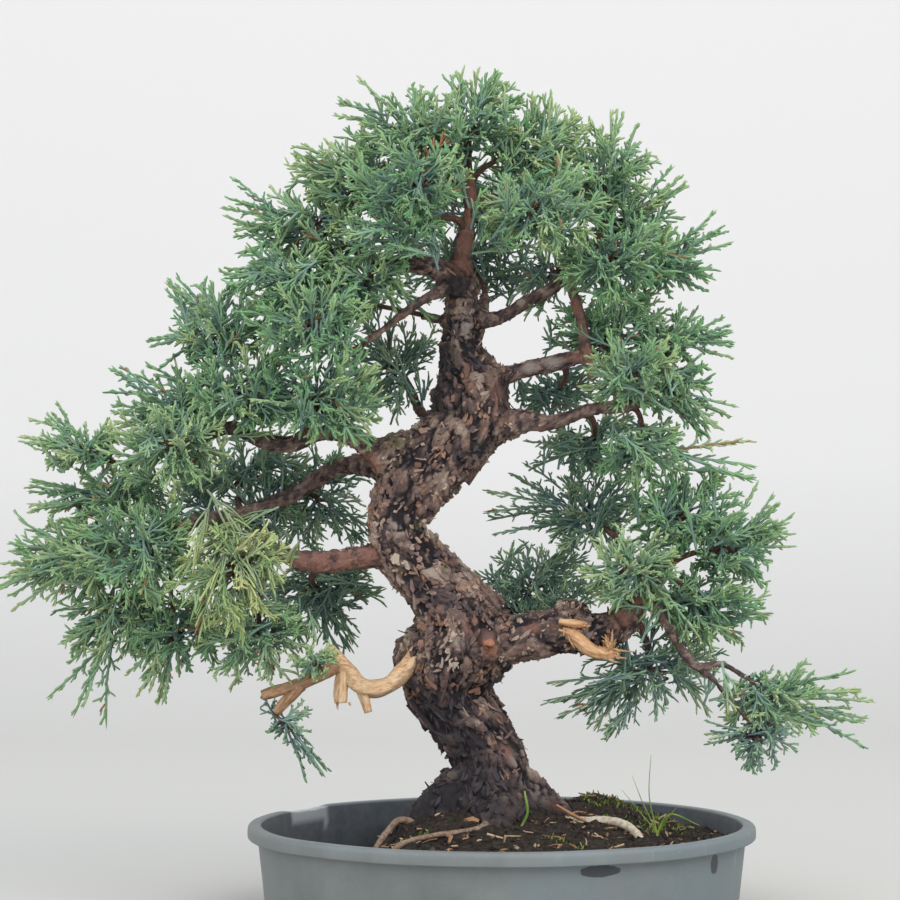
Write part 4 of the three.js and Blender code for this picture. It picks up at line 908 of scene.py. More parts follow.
def relaxed(points, edges, rounds):
    """Points moved towards the mean of their neighbours, which fillets the joints of limbs."""
    count = np.bincount(edges.ravel(), minlength=len(points))
    for _ in range(rounds):
        mean = np.zeros_like(points)
        for axis in range(3):
            mean[:, axis] = np.bincount(edges[:, 0], points[edges[:, 1], axis], len(points))
            mean[:, axis] += np.bincount(edges[:, 1], points[edges[:, 0], axis], len(points))
        points = points + 0.5 * (mean / np.maximum(count, 1)[:, None] - points)
    return points


def foot_lobes(angle, length):
    """The trunk's foot spreads into root lobes, and the trunk is a little fluted all the way up."""
    spread = np.clip((FOOT_HEIGHT - length) / FOOT_HEIGHT, 0, 1)
    lobes = 1 + 0.12 * spread * np.sin(4 * angle + 0.7)
    return lobes + 0.05 * np.sin(3 * angle + length / 40) + 0.03 * np.sin(7 * angle + 1)


def read_vectors(layer, field):
    """A vector of each point of a mesh."""
    values = np.zeros(len(layer) * 3)
    layer.foreach_get(field, values)
    return values.reshape(-1, 3)


def grown_together():
    """The trunk and its limbs remeshed into one skin: the object, its points in mm and its normals."""
    parts = [tube(smooth_curve(TRUNK, LINE_SPACING), TRUNK_SIDES, foot_lobes)]
    parts += [tube(smooth_curve(rows, LINE_SPACING), LIMB_SIDES) for rows in BARK_LINES[1:]]
    raw = add_object("raw_bark", *joined(parts))
    remesh = raw.modifiers.new("grow_together", "REMESH")
    remesh.mode = "VOXEL"
    remesh.voxel_size = VOXEL * MM
    mesh = bpy.data.meshes.new_from_object(raw.evaluated_get(bpy.context.evaluated_depsgraph_get()))
    bpy.data.objects.remove(raw)
    obj = bpy.data.objects.new("trunk_bark", mesh)
    bpy.context.scene.collection.objects.link(obj)
    edges = np.zeros(len(mesh.edges) * 2, np.int32)
    mesh.edges.foreach_get("vertices", edges)
    points = relaxed(read_vectors(mesh.vertices, "co") * 1000, edges.reshape(-1, 2), RELAX_ROUNDS)
    mesh.vertices.foreach_set("co", (points * MM).ravel())
    mesh.update()
    return obj, points, read_vectors(mesh.vertices, "normal")


def mark_strengths(points):
    """How strong each kind of mark is at each point, from 0 to 1. The foot gets painted shade all round, more
    on its left.
    """
    marks = np.zeros((len(points), len(BARK_MARKS)))
    for column, places in enumerate(BARK_MARKS.values()):
        for *place, radius in places:
            strength = np.clip(1.6 - 1.6 * distance_to(points, place) / radius, 0, 1)
            marks[:, column] = np.maximum(marks[:, column], strength)
    # Painted shade at the foot, more on its left.
    foot = np.clip((74 - points[:, 2] - 0.25 * points[:, 0]) / 14, 0, 1)
    marks[:, PAINTED_SHADE] = np.maximum(marks[:, PAINTED_SHADE], 0.9 * foot)
    return marks


def build_bark():
    obj, points, normals = grown_together()
    grain, thickness, direction = along_grain(points)
    relief, plate = bark_relief(grain, thickness)
    points += normals * relief[:, None]
    hole = HOLE_DEPTH * np.exp(-((distance_to(points, HOLE_PLACE) / HOLE_RADIUS) ** 2))
    points -= normals * hole[:, None]
    mesh = obj.data
    mesh.vertices.foreach_set("co", (points * MM).ravel())
    mesh.polygons.foreach_set("use_smooth", np.ones(len(mesh.polygons), bool))
    mesh.update()
    grain[:, 2] *= GRAIN_STRETCH
    store(obj, "grain", grain)
    height = 0.5 + relief * np.clip(thickness / 12, 0.35, 1) / (5.5 * relief_share(thickness))
    store(obj, "height", np.clip(height, 0, 1))
    store(obj, "plate", plate)
    marks = mark_strengths(points)
    store_colour(obj, "marks", marks[:, RED], marks[:, MOSS], marks[:, PAINTED_SHADE])
    store_colour(obj, "patches", marks[:, CUT], marks[:, PALE], np.zeros(len(points)))
    mesh.materials.clear()
    mesh.materials.append(bark_material())
    dress(obj)
    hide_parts("wood")
    return points, normals, thickness, direction, plate, marks


def sides_of(normals, direction, rng, stray):
    """For each place on the bark: a way along the grain and one across it, both in the surface."""
    way = direction * rng.choice([-1, 1], len(normals))[:, None] + rng.normal(0, stray, normals.shape)
    along = unit(np.cross(normals, np.cross(way, normals)))
    return along, np.cross(normals, along)


def chip_chances(points, thickness, low, marks):
    """How likely a chip is at each point: few on smooth bark, thin limbs, the foot and where shade is
    painted.
    """
    smooth = np.clip(marks[:, RED] + marks[:, CUT] + marks[:, PALE], 0, 1)
    smooth = np.where(distance_to(points, STUB_PLACE) < STUB_CLEARANCE, 1.1, smooth)
    chance = np.clip(thickness / 10, 0.12, 1) * np.clip(1 - 0.92 * smooth, 0, 1)
    chance = chance * np.clip((points[:, 2] - 48) / 40, 0, 1)
    return chance * (1 - 0.45 * np.maximum(low, marks[:, PAINTED_SHADE]))


def build_chips(points, normals, thickness, direction, plate, marks):
    """Rough scaly plates all over the bark: uneven, tilted and sunk into it, and longer low down."""
    rng = np.random.default_rng(SEED + 1)
    low = np.clip((DARK_BELOW - points[:, 2]) / 20, 0, 1)
    chance = chip_chances(points, thickness, low, marks)
    wanted = CHIP_COUNT
    chosen = rng.choice(len(points), wanted, replace=False, p=chance / chance.sum())
    root, out, streak, dark = points[chosen], normals[chosen], low[chosen], marks[chosen, PAINTED_SHADE]
    count = len(chosen)
    along, across = sides_of(out, direction[chosen], rng, 0.4)
    scale = np.clip(thickness[chosen] / 15, 0.42, 1.05)
    long = scale * rng.lognormal(0.5, 0.42, count) * (1 + 0.9 * streak)
    wide = scale * rng.lognormal(0.12, 0.4, count) * (1 - 0.2 * streak)
    tilt = rng.normal(0, 0.3, (count, 2))
    height = scale * rng.uniform(0.1, 0.75, count)
    top, bottom = [], []
    for k in range(CHIP_CORNERS):
        a = 2 * math.pi * k / CHIP_CORNERS + rng.uniform(-0.45, 0.45, count)
        reach = rng.uniform(0.65, 1.15, count)
        u, w = long * np.cos(a) * reach, wide * np.sin(a) * reach
        lift = height + np.clip(tilt[:, 0] * u + tilt[:, 1] * w, -0.6, 0.9) + rng.uniform(-0.12, 0.12, count)
        flat = root + along * u[:, None] + across * w[:, None]
        top.append(flat + out * lift[:, None])
        bottom.append(flat - out * CHIP_SINK)
    corners = np.stack(top + bottom, 1)
    n = CHIP_CORNERS
    pattern = [(0, k, k + 1) for k in range(1, n - 1)]
    for k in range(n):
        m = (k + 1) % n
        pattern += [(k, k + n, m + n), (k, m + n, m)]
    faces = repeated(pattern, count, 2 * n)
    obj = add_object("bark_plates", corners.reshape(-1, 3), faces, bark_chip_material(), smooth=False)
    broad = np.array([noise.noise(Vector(p) / 11) for p in root.tolist()])
    warmth = np.array([noise.noise(Vector(p) / 7 + Vector((40, 0, 0))) for p in root.tolist()])
    tone = 0.34 * plate[chosen] + 0.22 * rng.random(count) + 0.25 + 0.85 * broad + 0.14 * tilt[:, 0]
    # Painted shade: chips low on the trunk are darker, partly as the bark's own tone, and so are those at the
    # neck under the crown.
    tone = tone - 0.32 * streak - 0.16 * np.clip((root[:, 2] - SHADED_ABOVE) / 20, 0, 1)
    # Chips in the bark's painted shade are darker, and none of them are warm.
    tone = np.clip(tone * (1 - 0.95 * dark), 0, 1)
    warm = np.clip(0.5 + 1.3 * warmth + rng.normal(0, 0.14, count), 0, 1) * (dark < 0.5)
    # The sunk ring of each plate is marked for painted shade.
    edge = np.tile(np.repeat([0.0, 1.0], n), count)
    store_colour(obj, "tint", np.repeat(tone, 2 * n), np.repeat(warm, 2 * n), edge)
    dress(obj)


def rippled(angle, length):
    return 1 + 0.13 * np.sin(3 * angle + 0.7 * length) + 0.1 * np.sin(5 * angle - 0.4 * length)


def build_stub():
    """A short sawn stub on the front of the swelling, with a collar of bark round its reddish cut face."""
    points, faces = tube(np.array(STUB_ROWS, float), STUB_SIDES, rippled)
    obj = add_object("sawn_stub", points, faces, tinted_material("stub_bark", STUB_COLOURS))
    tint = np.concatenate([np.repeat(STUB_TONES, STUB_SIDES), [0.15, 1.0]])
    store_colour(obj, "tint", tint, tint, tint)
    dress(obj)


def build_shreds(points, normals, thickness, direction, marks):
    """Thin shreds of bark that peel off the trunk and limbs."""
    rng = np.random.default_rng(SEED + 6)
    chosen = rng.choice(len(points), SHRED_COUNT, replace=False)
    chosen = chosen[(thickness[chosen] > SHRED_LEAST_LIMB) & (points[chosen][:, 2] > SHRED_LEAST_HEIGHT)]
    root, out = points[chosen], normals[chosen]
    count = len(chosen)
    along, across = sides_of(out, direction[chosen], rng, 0.6)
    length, width = rng.uniform(2.5, 6.5, count), rng.uniform(0.7, 1.9, count)
    lift = rng.uniform(0.8, 3.2, count)
    rows = []
    for t in (0.0, 0.5, 1.0):
        for side in (-0.5, 0.5):
            w = width * side * (1 - 0.6 * t) * rng.uniform(0.7, 1.2, count)
            p = root + along * (length * t)[:, None] + across * w[:, None]
            rows.append(p + out * (lift * t * t - SHRED_THICKNESS)[:, None])
    top = np.stack(rows, 1)
    corners = np.concatenate([top, top - out[:, None] * SHRED_THICKNESS], 1)
    each = corners.shape[1]
    # Shreds in the bark's painted shade are darker.
    scattered_piece(
        "bark_shreds", "bark", tinted_material("bark_shred", SHRED_COLOURS), corners.reshape(-1, 3),
        repeated(SHRED_FACES, count, each), rng.random(count) * (1 - 0.8 * marks[chosen, PAINTED_SHADE]), each)


# The stripped branches: a line of the table and how weathered and dark it is, from 0 to 1.
BARE_LINES = {
    "jin_left": 0.12, "jin_stub_long": 0.0, "jin_stub_short": 0.0, "jin_twig": 0.75, "jin_fork": 0.8,
    "jin_right": 0.1, "jin_strip": 0.0,
}
BARE_SIDES = 16
# Splinters where the wood was torn: where they stand, which way they point, how many and how long.
SPLINTERS = [
    ((55, -20, 137), (-0.25, -0.3, 1), 26, 5.5), ((56, -19, 135), (0.9, -0.3, 0.1), 12, 5),
    ((33, -20, 147), (0.6, -0.3, -0.6), 12, 8), ((42, -22, 150), (0.9, -0.2, 0), 6, 3),
    ((-82, -20, 112), (-0.1, -0.1, -1), 7, 3.5), ((-44, -16, 131), (-0.5, -0.5, -0.3), 10, 6),
]


def gnarled(angle, length):
    """The grain of stripped wood stands out in ribs that wind round it."""
    ribs = 1 + 0.13 * np.sin(5 * angle + length / 9) + 0.08 * np.sin(9 * angle - length / 5)
    return ribs + 0.07 * np.sin(length / 2.3 + 2 * angle)


def splinter(base, way, size, rng):
    start = np.array(base) + rng.normal(0, 1.7, 3)
    end = start + (unit(np.array(way, float)) + rng.normal(0, 0.35, 3)) * size * rng.uniform(0.4, 1.1)
    middle = (start + end) / 2 + rng.normal(0, 0.5, 3)
    return tube(smooth_curve([[*start, 0.8], [*middle, 0.5], [*end, 0.12]], 2), 4)


def build_bare_wood():
    rng = np.random.default_rng(SEED + 2)
    parts, grains, stains = [], [], []
    for name, stain in BARE_LINES.items():
        rows = smooth_curve(LIMBS[name], 1.2)
        points, faces = tube(rows, BARE_SIDES, gnarled)
        parts.append((points, faces))
        length = distance_to(points, rows[0, :3])
        grains.append(points * 0.9 - 0.75 * length[:, None] * unit(rows[-1, :3] - rows[0, :3]))
        edge = 0.45 * np.clip(1 - length / 16, 0, 1) if name == "jin_left" else 0.0
        stains.append(np.clip(stain + edge + rng.normal(0, 0.05, len(points)), 0, 1))
    for base, way, count, size in SPLINTERS:
        for _ in range(count):
            points, faces = splinter(base, way, size, rng)
            parts.append((points, faces))
            grains.append(points)
            stains.append(np.full(len(points), rng.uniform(0, 0.35)))
    obj = add_object("stripped_dead_wood", *joined(parts), bare_wood_material())
    store(obj, "grain", np.vstack(grains))
    stain = np.concatenate(stains)
    store_colour(obj, "marks", stain, stain, stain)
    dress(obj)


def build_roots():
    lines = [rows for name, rows in ROOTS.items() if not name.startswith("foot_")]
    points, faces = joined([tube(smooth_curve(rows, 1.5), 10) for rows in lines])
    for i, p in enumerate(points.tolist()):
        points[i] += 0.35 * np.array(noise.noise_vector(Vector(p) / 3.5))
    dress(add_object("surface_roots", points, faces, root_material()))


# Foliage


def limb_point(name, share):
    """The point, direction and radius at a share of a limb's length."""
    rows = smooth_curve(TRUNK[CROWN_START:] if name == "trunk" else LIMBS[name], 1.0)
    length = length_along(rows[:, :3])
    i = int(np.argmin(abs(length - share * length[-1])))
    return rows[i, :3], unit(rows[min(i + 1, len(rows) - 1), :3] - rows[max(i - 1, 0), :3]), rows[i, 3]


def pad_layout(name):
    """A pad's hub, and the twig that leads to it from its limb."""
    _, middle, half, limb, share = PADS[name]
    middle, half = np.array(middle, float), np.array(half, float)
    start, along, radius = limb_point(limb, share)
    hub = middle - HUB_SHIFT * unit(middle - start) * half
    reach = np.linalg.norm(hub - start)
    bend = start + 0.3 * reach * along
    bend = bend + 0.25 * (hub - bend)
    thick = min(TWIG_RADIUS + reach / 60, 0.8 * radius)
    rows = [
        [*start, thick],
        [*(start + 0.6 * (bend - start)), thick * 0.9],
        [*(bend + 0.4 * (hub - bend)), (thick + TWIG_TIP_RADIUS) / 2],
        [*hub, TWIG_TIP_RADIUS],
    ]
    return hub, smooth_curve(rows, 2.5)


def spray_tips(name, hub):
    """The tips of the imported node's own shoots: the points further out than all their neighbours."""
    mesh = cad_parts["foliage_" + name].data
    points = np.array([v.co for v in mesh.vertices]) * 1000
    distance = distance_to(points, hub)
    _, first, group = np.unique(np.round(points, 1), axis=0, return_index=True, return_inverse=True)
    group = group.ravel()
    is_tip = np.ones(len(first), bool)
    for edge in mesh.edges:
        a, b = edge.vertices
        lower = a if distance[a] < distance[b] else b
        if group[a] != group[b]:
            is_tip[group[lower]] = False
    tips = points[first[is_tip]]
    return tips[distance_to(tips, hub) > LEAST_TIP_REACH]


def fan_cords(rng):
    """The cords of one long drooping spray along +X: its side cords lie close along it and have no forks."""
    sway = np.array([0, rng.uniform(-0.1, 0.1), rng.uniform(-0.05, 0.05)])
    cords = [(np.zeros(3), np.array([1.0, 0, 0]), sway, 1.0, 0.95, 0.0, 1.0)]
    count = rng.integers(7, 10)
    side = rng.choice([-1, 1])
    for i in range(count):
        t = 0.08 + 0.75 * (i + 0.6 * rng.random()) / count
        side = -side
        angle = FAN_ANGLE * rng.uniform(0.7, 1.3)
        way = np.array([math.cos(angle), side * math.sin(angle), rng.normal(0, 0.12)])
        length = (0.2 + 0.3 * (1 - t)) * rng.uniform(0.7, 1.2)
        start = np.array([t, 0, 0]) + sway * t * t
        cords.append((start, way, np.array([0.05, -0.1 * side, 0]), length, 0.85, t, min(1.0, t + 0.45)))
    return cords


def spray_cords(rng, is_leader):
    """The cords of one spray along +X, one unit long.

    Each is a start, a way, a bend, a length, a thickness and a shade at both ends."""
    sway = np.array([0, rng.uniform(-0.15, 0.15), rng.uniform(-0.08, 0.12)])
    cords = [(np.zeros(3), np.array([1.0, 0, 0]), sway, 1.0, 1.05, 0.0, 1.0)]
    count, spacing = (rng.integers(9, 12), 0.085) if is_leader else (rng.integers(6, 8), 0.14)
    side = rng.choice([-1, 1])
    for i in range(count):
        t = 0.12 + 0.8 * (i + 0.6 * rng.random()) / count
        start = np.array([t, 0, 0]) + sway * t * t
        side = -side
        angle = LATERAL_ANGLE * rng.uniform(0.75, 1.25)
        lean = rng.normal(0, 0.5)
        aside = math.sin(angle)
        way = np.array([math.cos(angle), side * aside * math.cos(lean), aside * math.sin(lean)])
        reach = 0.08 + 0.1 * (1 - t) if is_leader else 0.19 + 0.27 * (1 - t)
        length = reach * rng.uniform(0.75, 1.25)
        bend = np.array([0.12, -0.16 * side, rng.uniform(-0.08, 0.08)])
        cords.append((start, way, bend, length, 0.95, t, min(1.0, t + 0.4)))
        forks = int(length / spacing + rng.random() - 0.3)
        turn = side
        for j in range(forks):
            s = (j + 0.5 + 0.4 * rng.random()) / (forks + 0.5)
            begin = start + (way * s + bend * s * s) * length
            turn = -turn
            out = np.array([-way[1], way[0], 0.0]) * turn + np.array([0, 0, rng.normal(0, 0.35)])
            fork = unit(way * 0.84 + unit(out) * 0.54)
            size = spacing * rng.uniform(0.85, 1.4) * (1.2 - 0.4 * s)
            cords.append((begin, fork, np.array([0.08, 0, 0]), size, 0.85, t + 0.2 * s, 1.0))
    return cords


def cord_mesh(start, way, bend, length, radius, low, high, tone, kind, rng, stations=SHORT_STATIONS):
    """Tapering cords, a little bent and closed at the tip, as points, triangles and a tint at each point."""
    count = len(start)
    axis = unit(way + 0.5 * bend)
    across = unit(np.cross(axis, rng.normal(size=(count, 3))))
    over = np.cross(axis, across)
    rings, tints = [], []
    for t, share in stations:
        centre = start + (way * t + bend * t * t) * length[:, None]
        for k in range(CORD_SIDES):
            a = 2 * math.pi * k / CORD_SIDES
            rings.append(centre + (radius * share)[:, None] * (math.cos(a) * across + math.sin(a) * over))
            tints.append(low + (high - low) * t)
    rings.append(start + (way + bend) * length[:, None])
    tints.append(high)
    points = np.stack(rings, 1)
    shade = np.stack(tints, 1)
    each = points.shape[1]
    n = CORD_SIDES
    pattern = []
    for ring in range(len(stations) - 1):
        for k in range(n):
            a, b = ring * n + k, ring * n + (k + 1) % n
            pattern += [(a, b, b + n), (a, b + n, a + n)]
    last = (len(stations) - 1) * n
    pattern += [(last + k, last + (k + 1) % n, each - 1) for k in range(n)]
    tint = np.stack([np.repeat(tone, each), shade.ravel(), np.repeat(kind, each)], 1)
    return points.reshape(-1, 3), repeated(pattern, count, each), tint


def tip_sprays(name, hub, rng):
    """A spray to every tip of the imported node. The far ones are leaders."""
    tips = spray_tips(name, hub)
    reach = distance_to(tips, hub)
    usual = np.median(reach)
    sprays = []
    for tip, far in zip(tips, reach):
        is_leader = far > LEADER_REACH * usual
        start = 0.3 if is_leader else max(0.15, 1 - SPRAY_LENGTH * rng.uniform(0.95, 1.25) / far)
        root = hub + (tip - hub) * start + rng.normal(0, 0.05 if is_leader else 0.12, 3) * far
        sprays.append((root, tip, LEADER if is_leader else SHORT))
    return sprays


def fill_sprays(name, rng):
    """Sprays spread evenly over the pad, most of them near its surface."""
    _, middle, half, limb, share = PADS[name]
    middle, half = np.array(middle, float), np.array(half, float)
    flow = unit(unit(middle - limb_point(limb, share)[0]) + np.array([0, 0, 0.35]))
    kind, usual_length = SHORT, SPRAY_LENGTH
    if name == FAN_PAD:
        kind, usual_length, flow = FAN, FAN_LENGTH, unit(np.array(FAN_FLOW))
    count = round(FILL_DENSITY * np.prod(half) ** (2 / 3) * SPARSE_PADS.get(name, 1.0))
    turn = rng.uniform(0, 6.3)
    sprays = []
    for i in range(count):
        up = 1 - (2 * i + 1) / count
        angle = turn + 2.4 * i
        flat = math.sqrt(1 - up * up)
        outward = np.array([flat * math.cos(angle), flat * math.sin(angle), up])
        tip = middle + outward * half * (1.04 - 0.45 * rng.random() ** 2)
        way = unit(0.75 * unit(outward / half) + 0.6 * flow + rng.normal(0, 0.28, 3))
        length = usual_length * rng.uniform(0.75, 1.15) * min(1.1, max(0.6, half.mean() / 26))
        sprays.append((tip - way * length, tip, kind))
    return sprays


def more_sprays(name, hub, rng):
    """The sprays of the further tips that are nearest to this pad."""
    sprays = []
    for tip in np.array(MORE_TIPS, float):
        if min(PADS, key=lambda other: np.linalg.norm(tip - np.array(PADS[other][1]))) == name:
            way = unit(unit(tip - hub) + rng.normal(0, 0.1, 3))
            length = min(SPRAY_LENGTH, 0.85 * np.linalg.norm(tip - hub))
            sprays.append((tip - way * length, tip, SHORT))
    return sprays


def build_pad(name, material, templates, rng, twigs):
    """One foliage pad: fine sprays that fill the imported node's form."""
    colour, middle, half = PADS[name][:3]
    hub, stem = pad_layout(name)
    stem[:, 3] *= STEM_SHARE
    twigs.append(tube(stem, 6))
    fields = [[] for _ in range(9)]
    pad_tone = rng.uniform(-0.14, 0.14) + PAD_TONES.get(name, 0.0)
    sprays = tip_sprays(name, hub, rng) + fill_sprays(name, rng) + more_sprays(name, hub, rng)
    thin = DARK_CORD_SHARE if colour == "dark" else 1
    for root, tip, kind in sprays:
        cords = templates[kind][rng.integers(TEMPLATE_COUNT)]
        size = np.linalg.norm(tip - root)
        x = (tip - root) / size
        y = unit(np.cross(rng.normal(size=3), x))
        turn = np.array([x, y, np.cross(x, y)])
        patch = 0.5 * noise.noise(Vector(tip) / 24)
        spread = 0.45 if kind == FAN else 1.0
        tone = np.clip(0.5 + spread * (pad_tone + patch + rng.normal(0, 0.2)), 0, 1)
        dead = 1.0 if kind == SHORT and rng.random() < DEAD_SHARE else 0.0
        start, way, bend, length, thick, low, high = (np.array(c, float) for c in zip(*cords))
        # Cords deeper in the pad take darker colours: painted shade within the pad.
        near = 0.4 * min(np.linalg.norm((tip - middle) / half), 1.1) - 0.12
        droop = np.array([0, 0, -FAN_DROOP if kind == FAN else 0.0])
        count = len(length)
        for field, values in zip(fields, (
            root + (start @ turn) * size, way @ turn, bend @ turn + droop, length * size,
            CORD_RADIUS * thick * rng.uniform(0.9, 1.08, count) * thin,
            np.clip(low * 0.65 + near * 0.6, 0, 1), np.clip(high * 0.72 + near, 0, 1),
            np.clip(tone + rng.normal(0, 0.1, count), 0, 1), np.maximum(dead, rng.random(count) < DEAD_CORDS),
        )):
            field.append(values)
        if rng.random() < TWIG_SHARE and np.linalg.norm(root - hub) < LONGEST_TWIG:
            rows = [[*hub, 1.1], [*((hub + root) / 2 + rng.normal(0, 1.5, 3)), 0.85], [*root, 0.65]]
            twigs.append(tube(smooth_curve(rows, 8), 3))
    fields = [np.concatenate(f) for f in fields]
    is_long = fields[3] > LONG_CORD
    parts = [
        cord_mesh(*(f[is_long] for f in fields), rng, LONG_STATIONS),
        cord_mesh(*(f[~is_long] for f in fields), rng),
    ]
    obj = add_object("fine_foliage_" + name, *joined([part[:2] for part in parts]), material)
    store_colour(obj, "tint", *np.vstack([part[2] for part in parts]).T)
    dress(obj)
    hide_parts("foliage_" + name)


def build_foliage():
    rng = np.random.default_rng(SEED + 3)
    materials = {kind: foliage_material(*colours) for kind, colours in CORD_COLOURS.items()}
    templates = [[spray_cords(rng, is_leader) for _ in range(TEMPLATE_COUNT)] for is_leader in (False, True)]
    templates.append([fan_cords(rng) for _ in range(TEMPLATE_COUNT)])
    twigs = []
    for name in PADS:
        build_pad(name, materials[PADS[name][0]], templates, rng, twigs)
    dress(add_object("twigs", *joined(twigs), twig_material()))


# Pot and soil


POT_HEIGHT = 47
RIM_RADIUS = 130.5
LIP_HEIGHT = 7
WALL_TOP_RADIUS = 125.6
WALL_FOOT_RADIUS = 122.2
WALL = 2
CORNER_RADIUS = 11
LIP_FOOT = POT_HEIGHT - LIP_HEIGHT
POT_SIDES = 240
AXIS_RADIUS = 0.01
CHIP_ANGLE = 146
CHIP_REACH = 9
CHIP_LEVEL = 3.2
GAP = 0.4
SOIL_LEVEL = 37
SOIL_LEVEL_LEFT = 14
SOIL_MOUND = 24
SOIL_MOUND_RADIUS = 50
TRUNK_FOOT = (-8, 0)
SIDE_MOUND = 17
SIDE_MOUND_RADIUS = 28
SIDE_MOUND_PLACE = (57, 38)
SOIL_GRID = (220, 74)


def lathe(profile, sides):
    """Points and quads of a closed ring profile turned about the Z axis, from the axis back to the axis."""
    radius, height = np.array(profile, float).T[:, :, None]
    angle = np.arange(sides) / sides * 2 * math.pi
    rings = np.stack([radius * np.cos(angle), radius * np.sin(angle), np.repeat(height, sides, 1)], -1)
    return rings.reshape(-1, 3), ring_quads(len(profile), sides)


def arc(cx, cz, radius, start, end, count):
    angles = np.radians(np.linspace(start, end, count)).tolist()
    return [(cx + radius * math.cos(a), cz + radius * math.sin(a)) for a in angles]


def inner_radius(z):
    """The radius of the pot's inner wall at a height."""
    share = (z - CORNER_RADIUS) / (POT_HEIGHT - CORNER_RADIUS)
    return WALL_FOOT_RADIUS - WALL + (WALL_TOP_RADIUS - WALL_FOOT_RADIUS) * share


def pot_profile():
    """Radius and height of the pot's section: up the outside, over the rolled rim and down the inside."""
    floor = WALL_FOOT_RADIUS - CORNER_RADIUS
    outer = [(AXIS_RADIUS, 0), (40, 0), (80, 0), (floor, 0)]
    outer += arc(floor, CORNER_RADIUS, CORNER_RADIUS, -90, -4, 9)[1:]
    spread, rise = WALL_TOP_RADIUS - WALL_FOOT_RADIUS, LIP_FOOT - CORNER_RADIUS + 2
    outer += [(WALL_FOOT_RADIUS + spread * s, CORNER_RADIUS + rise * s) for s in np.linspace(0.03, 1, 8)]
    lip = [(RIM_RADIUS - 1.4, LIP_FOOT + 0.6), (RIM_RADIUS - 1.2, LIP_FOOT)]
    lip += arc(RIM_RADIUS - 0.7, LIP_FOOT + 0.7, 0.7, -60, 0, 4)
    lip += [(RIM_RADIUS + 0.1, POT_HEIGHT - 4.5)]
    lip += arc(RIM_RADIUS - 2.6, POT_HEIGHT - 2.7, 2.6, 0, 90, 7)
    inner = arc(WALL_TOP_RADIUS - WALL + 1.2, POT_HEIGHT - 1.3, 1.2, 90, 180, 5)
    inner += [(inner_radius(z), z) for z in (41.5, 38, 33, 28, 23, 17, CORNER_RADIUS)]
    return outer + lip + inner + [(floor, WALL), (AXIS_RADIUS, WALL)]


def build_pot():
    points, faces = lathe(pot_profile(), POT_SIDES)
    angle = np.degrees(np.arctan2(points[:, 1], points[:, 0]))
    radius = np.hypot(points[:, 0], points[:, 1])
    # The rim is broken at one place, and the whole pot is a little wavy.
    near = abs((angle - CHIP_ANGLE + 180) % 360 - 180)
    ragged = np.array([noise.noise(Vector((a * 1.3, 0, 3))) for a in angle.tolist()])
    depth = np.where(near < CHIP_REACH, 1.5 * np.clip(1.6 - near / 6, 0, 1) + 0.7 * ragged, 0)
    top = np.clip((points[:, 2] - POT_HEIGHT + CHIP_LEVEL) / CHIP_LEVEL, 0, 1)
    points[:, 2] -= np.maximum(depth, 0) * top
    wave = np.array([noise.noise(Vector((a / 28, 0, 7))) for a in angle.tolist()])
    points[:, 2] += 0.5 * wave * (points[:, 2] > 20)
    obj = add_object("pot_shell", points, faces, pot_material())

    def front_patch(x, z, width, height):
        """A soft patch on the front of the outer wall."""
        patch = np.exp(-(((points[:, 0] - x) / width) ** 2 + ((points[:, 2] - z) / height) ** 2))
        return patch * (points[:, 1] < 0) * (radius > 120)

    is_inner = (radius < inner_radius(points[:, 2]) + 0.8) & (points[:, 2] < POT_HEIGHT - 1)
    is_broken = (near < CHIP_REACH) & (depth > 0.4) & (points[:, 2] > 38)
    rust = np.clip(front_patch(-95, 20, 26, 18) + 0.6 * front_patch(20, 24, 60, 14), 0, 1)
    # The inner wall is marked for painted shade.
    store_colour(obj, "marks", np.where(is_inner, 0.9, 0), rust, np.where(is_broken, 0.6, 0))
    dress(obj)
    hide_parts("pot")


def mound(x, y, place, height, reach):
    return height * np.exp(-((np.hypot(x - place[0], y - place[1]) / reach) ** 2))


def soil_height(x, y):
    """The soil's surface in mm: low on the left, mounded round the trunk and behind the right root."""
    t = np.clip((x + 82) / 36, 0, 1)
    level = SOIL_LEVEL_LEFT + (SOIL_LEVEL - SOIL_LEVEL_LEFT) * t * t * (3 - 2 * t)
    mounds = mound(x, y, TRUNK_FOOT, SOIL_MOUND, SOIL_MOUND_RADIUS)
    mounds = mounds + mound(x, y, SIDE_MOUND_PLACE, SIDE_MOUND, SIDE_MOUND_RADIUS)
    return level + mounds + 1.2 * np.sin(x / 9 + 1) * np.cos(y / 11) + 0.8 * np.sin((x + y) / 6)


def lump(x, y):
    """How far the soil's lumps and crumbs stand out at one place."""
    coarse, middle = noise.noise(Vector((x / 9, y / 9, 0))), noise.noise(Vector((x / 3.6, y / 3.6, 5)))
    return 1.9 * coarse + 1.3 * middle + 0.6 * noise.noise(Vector((x / 1.7, y / 1.7, 9)))


def crumbled(x, y):
    """The soil's height with its lumps and crumbs."""
    lumps = [lump(a, b) for a, b in zip(np.ravel(x).tolist(), np.ravel(y).tolist())]
    return soil_height(x, y) + np.reshape(lumps, np.shape(x))


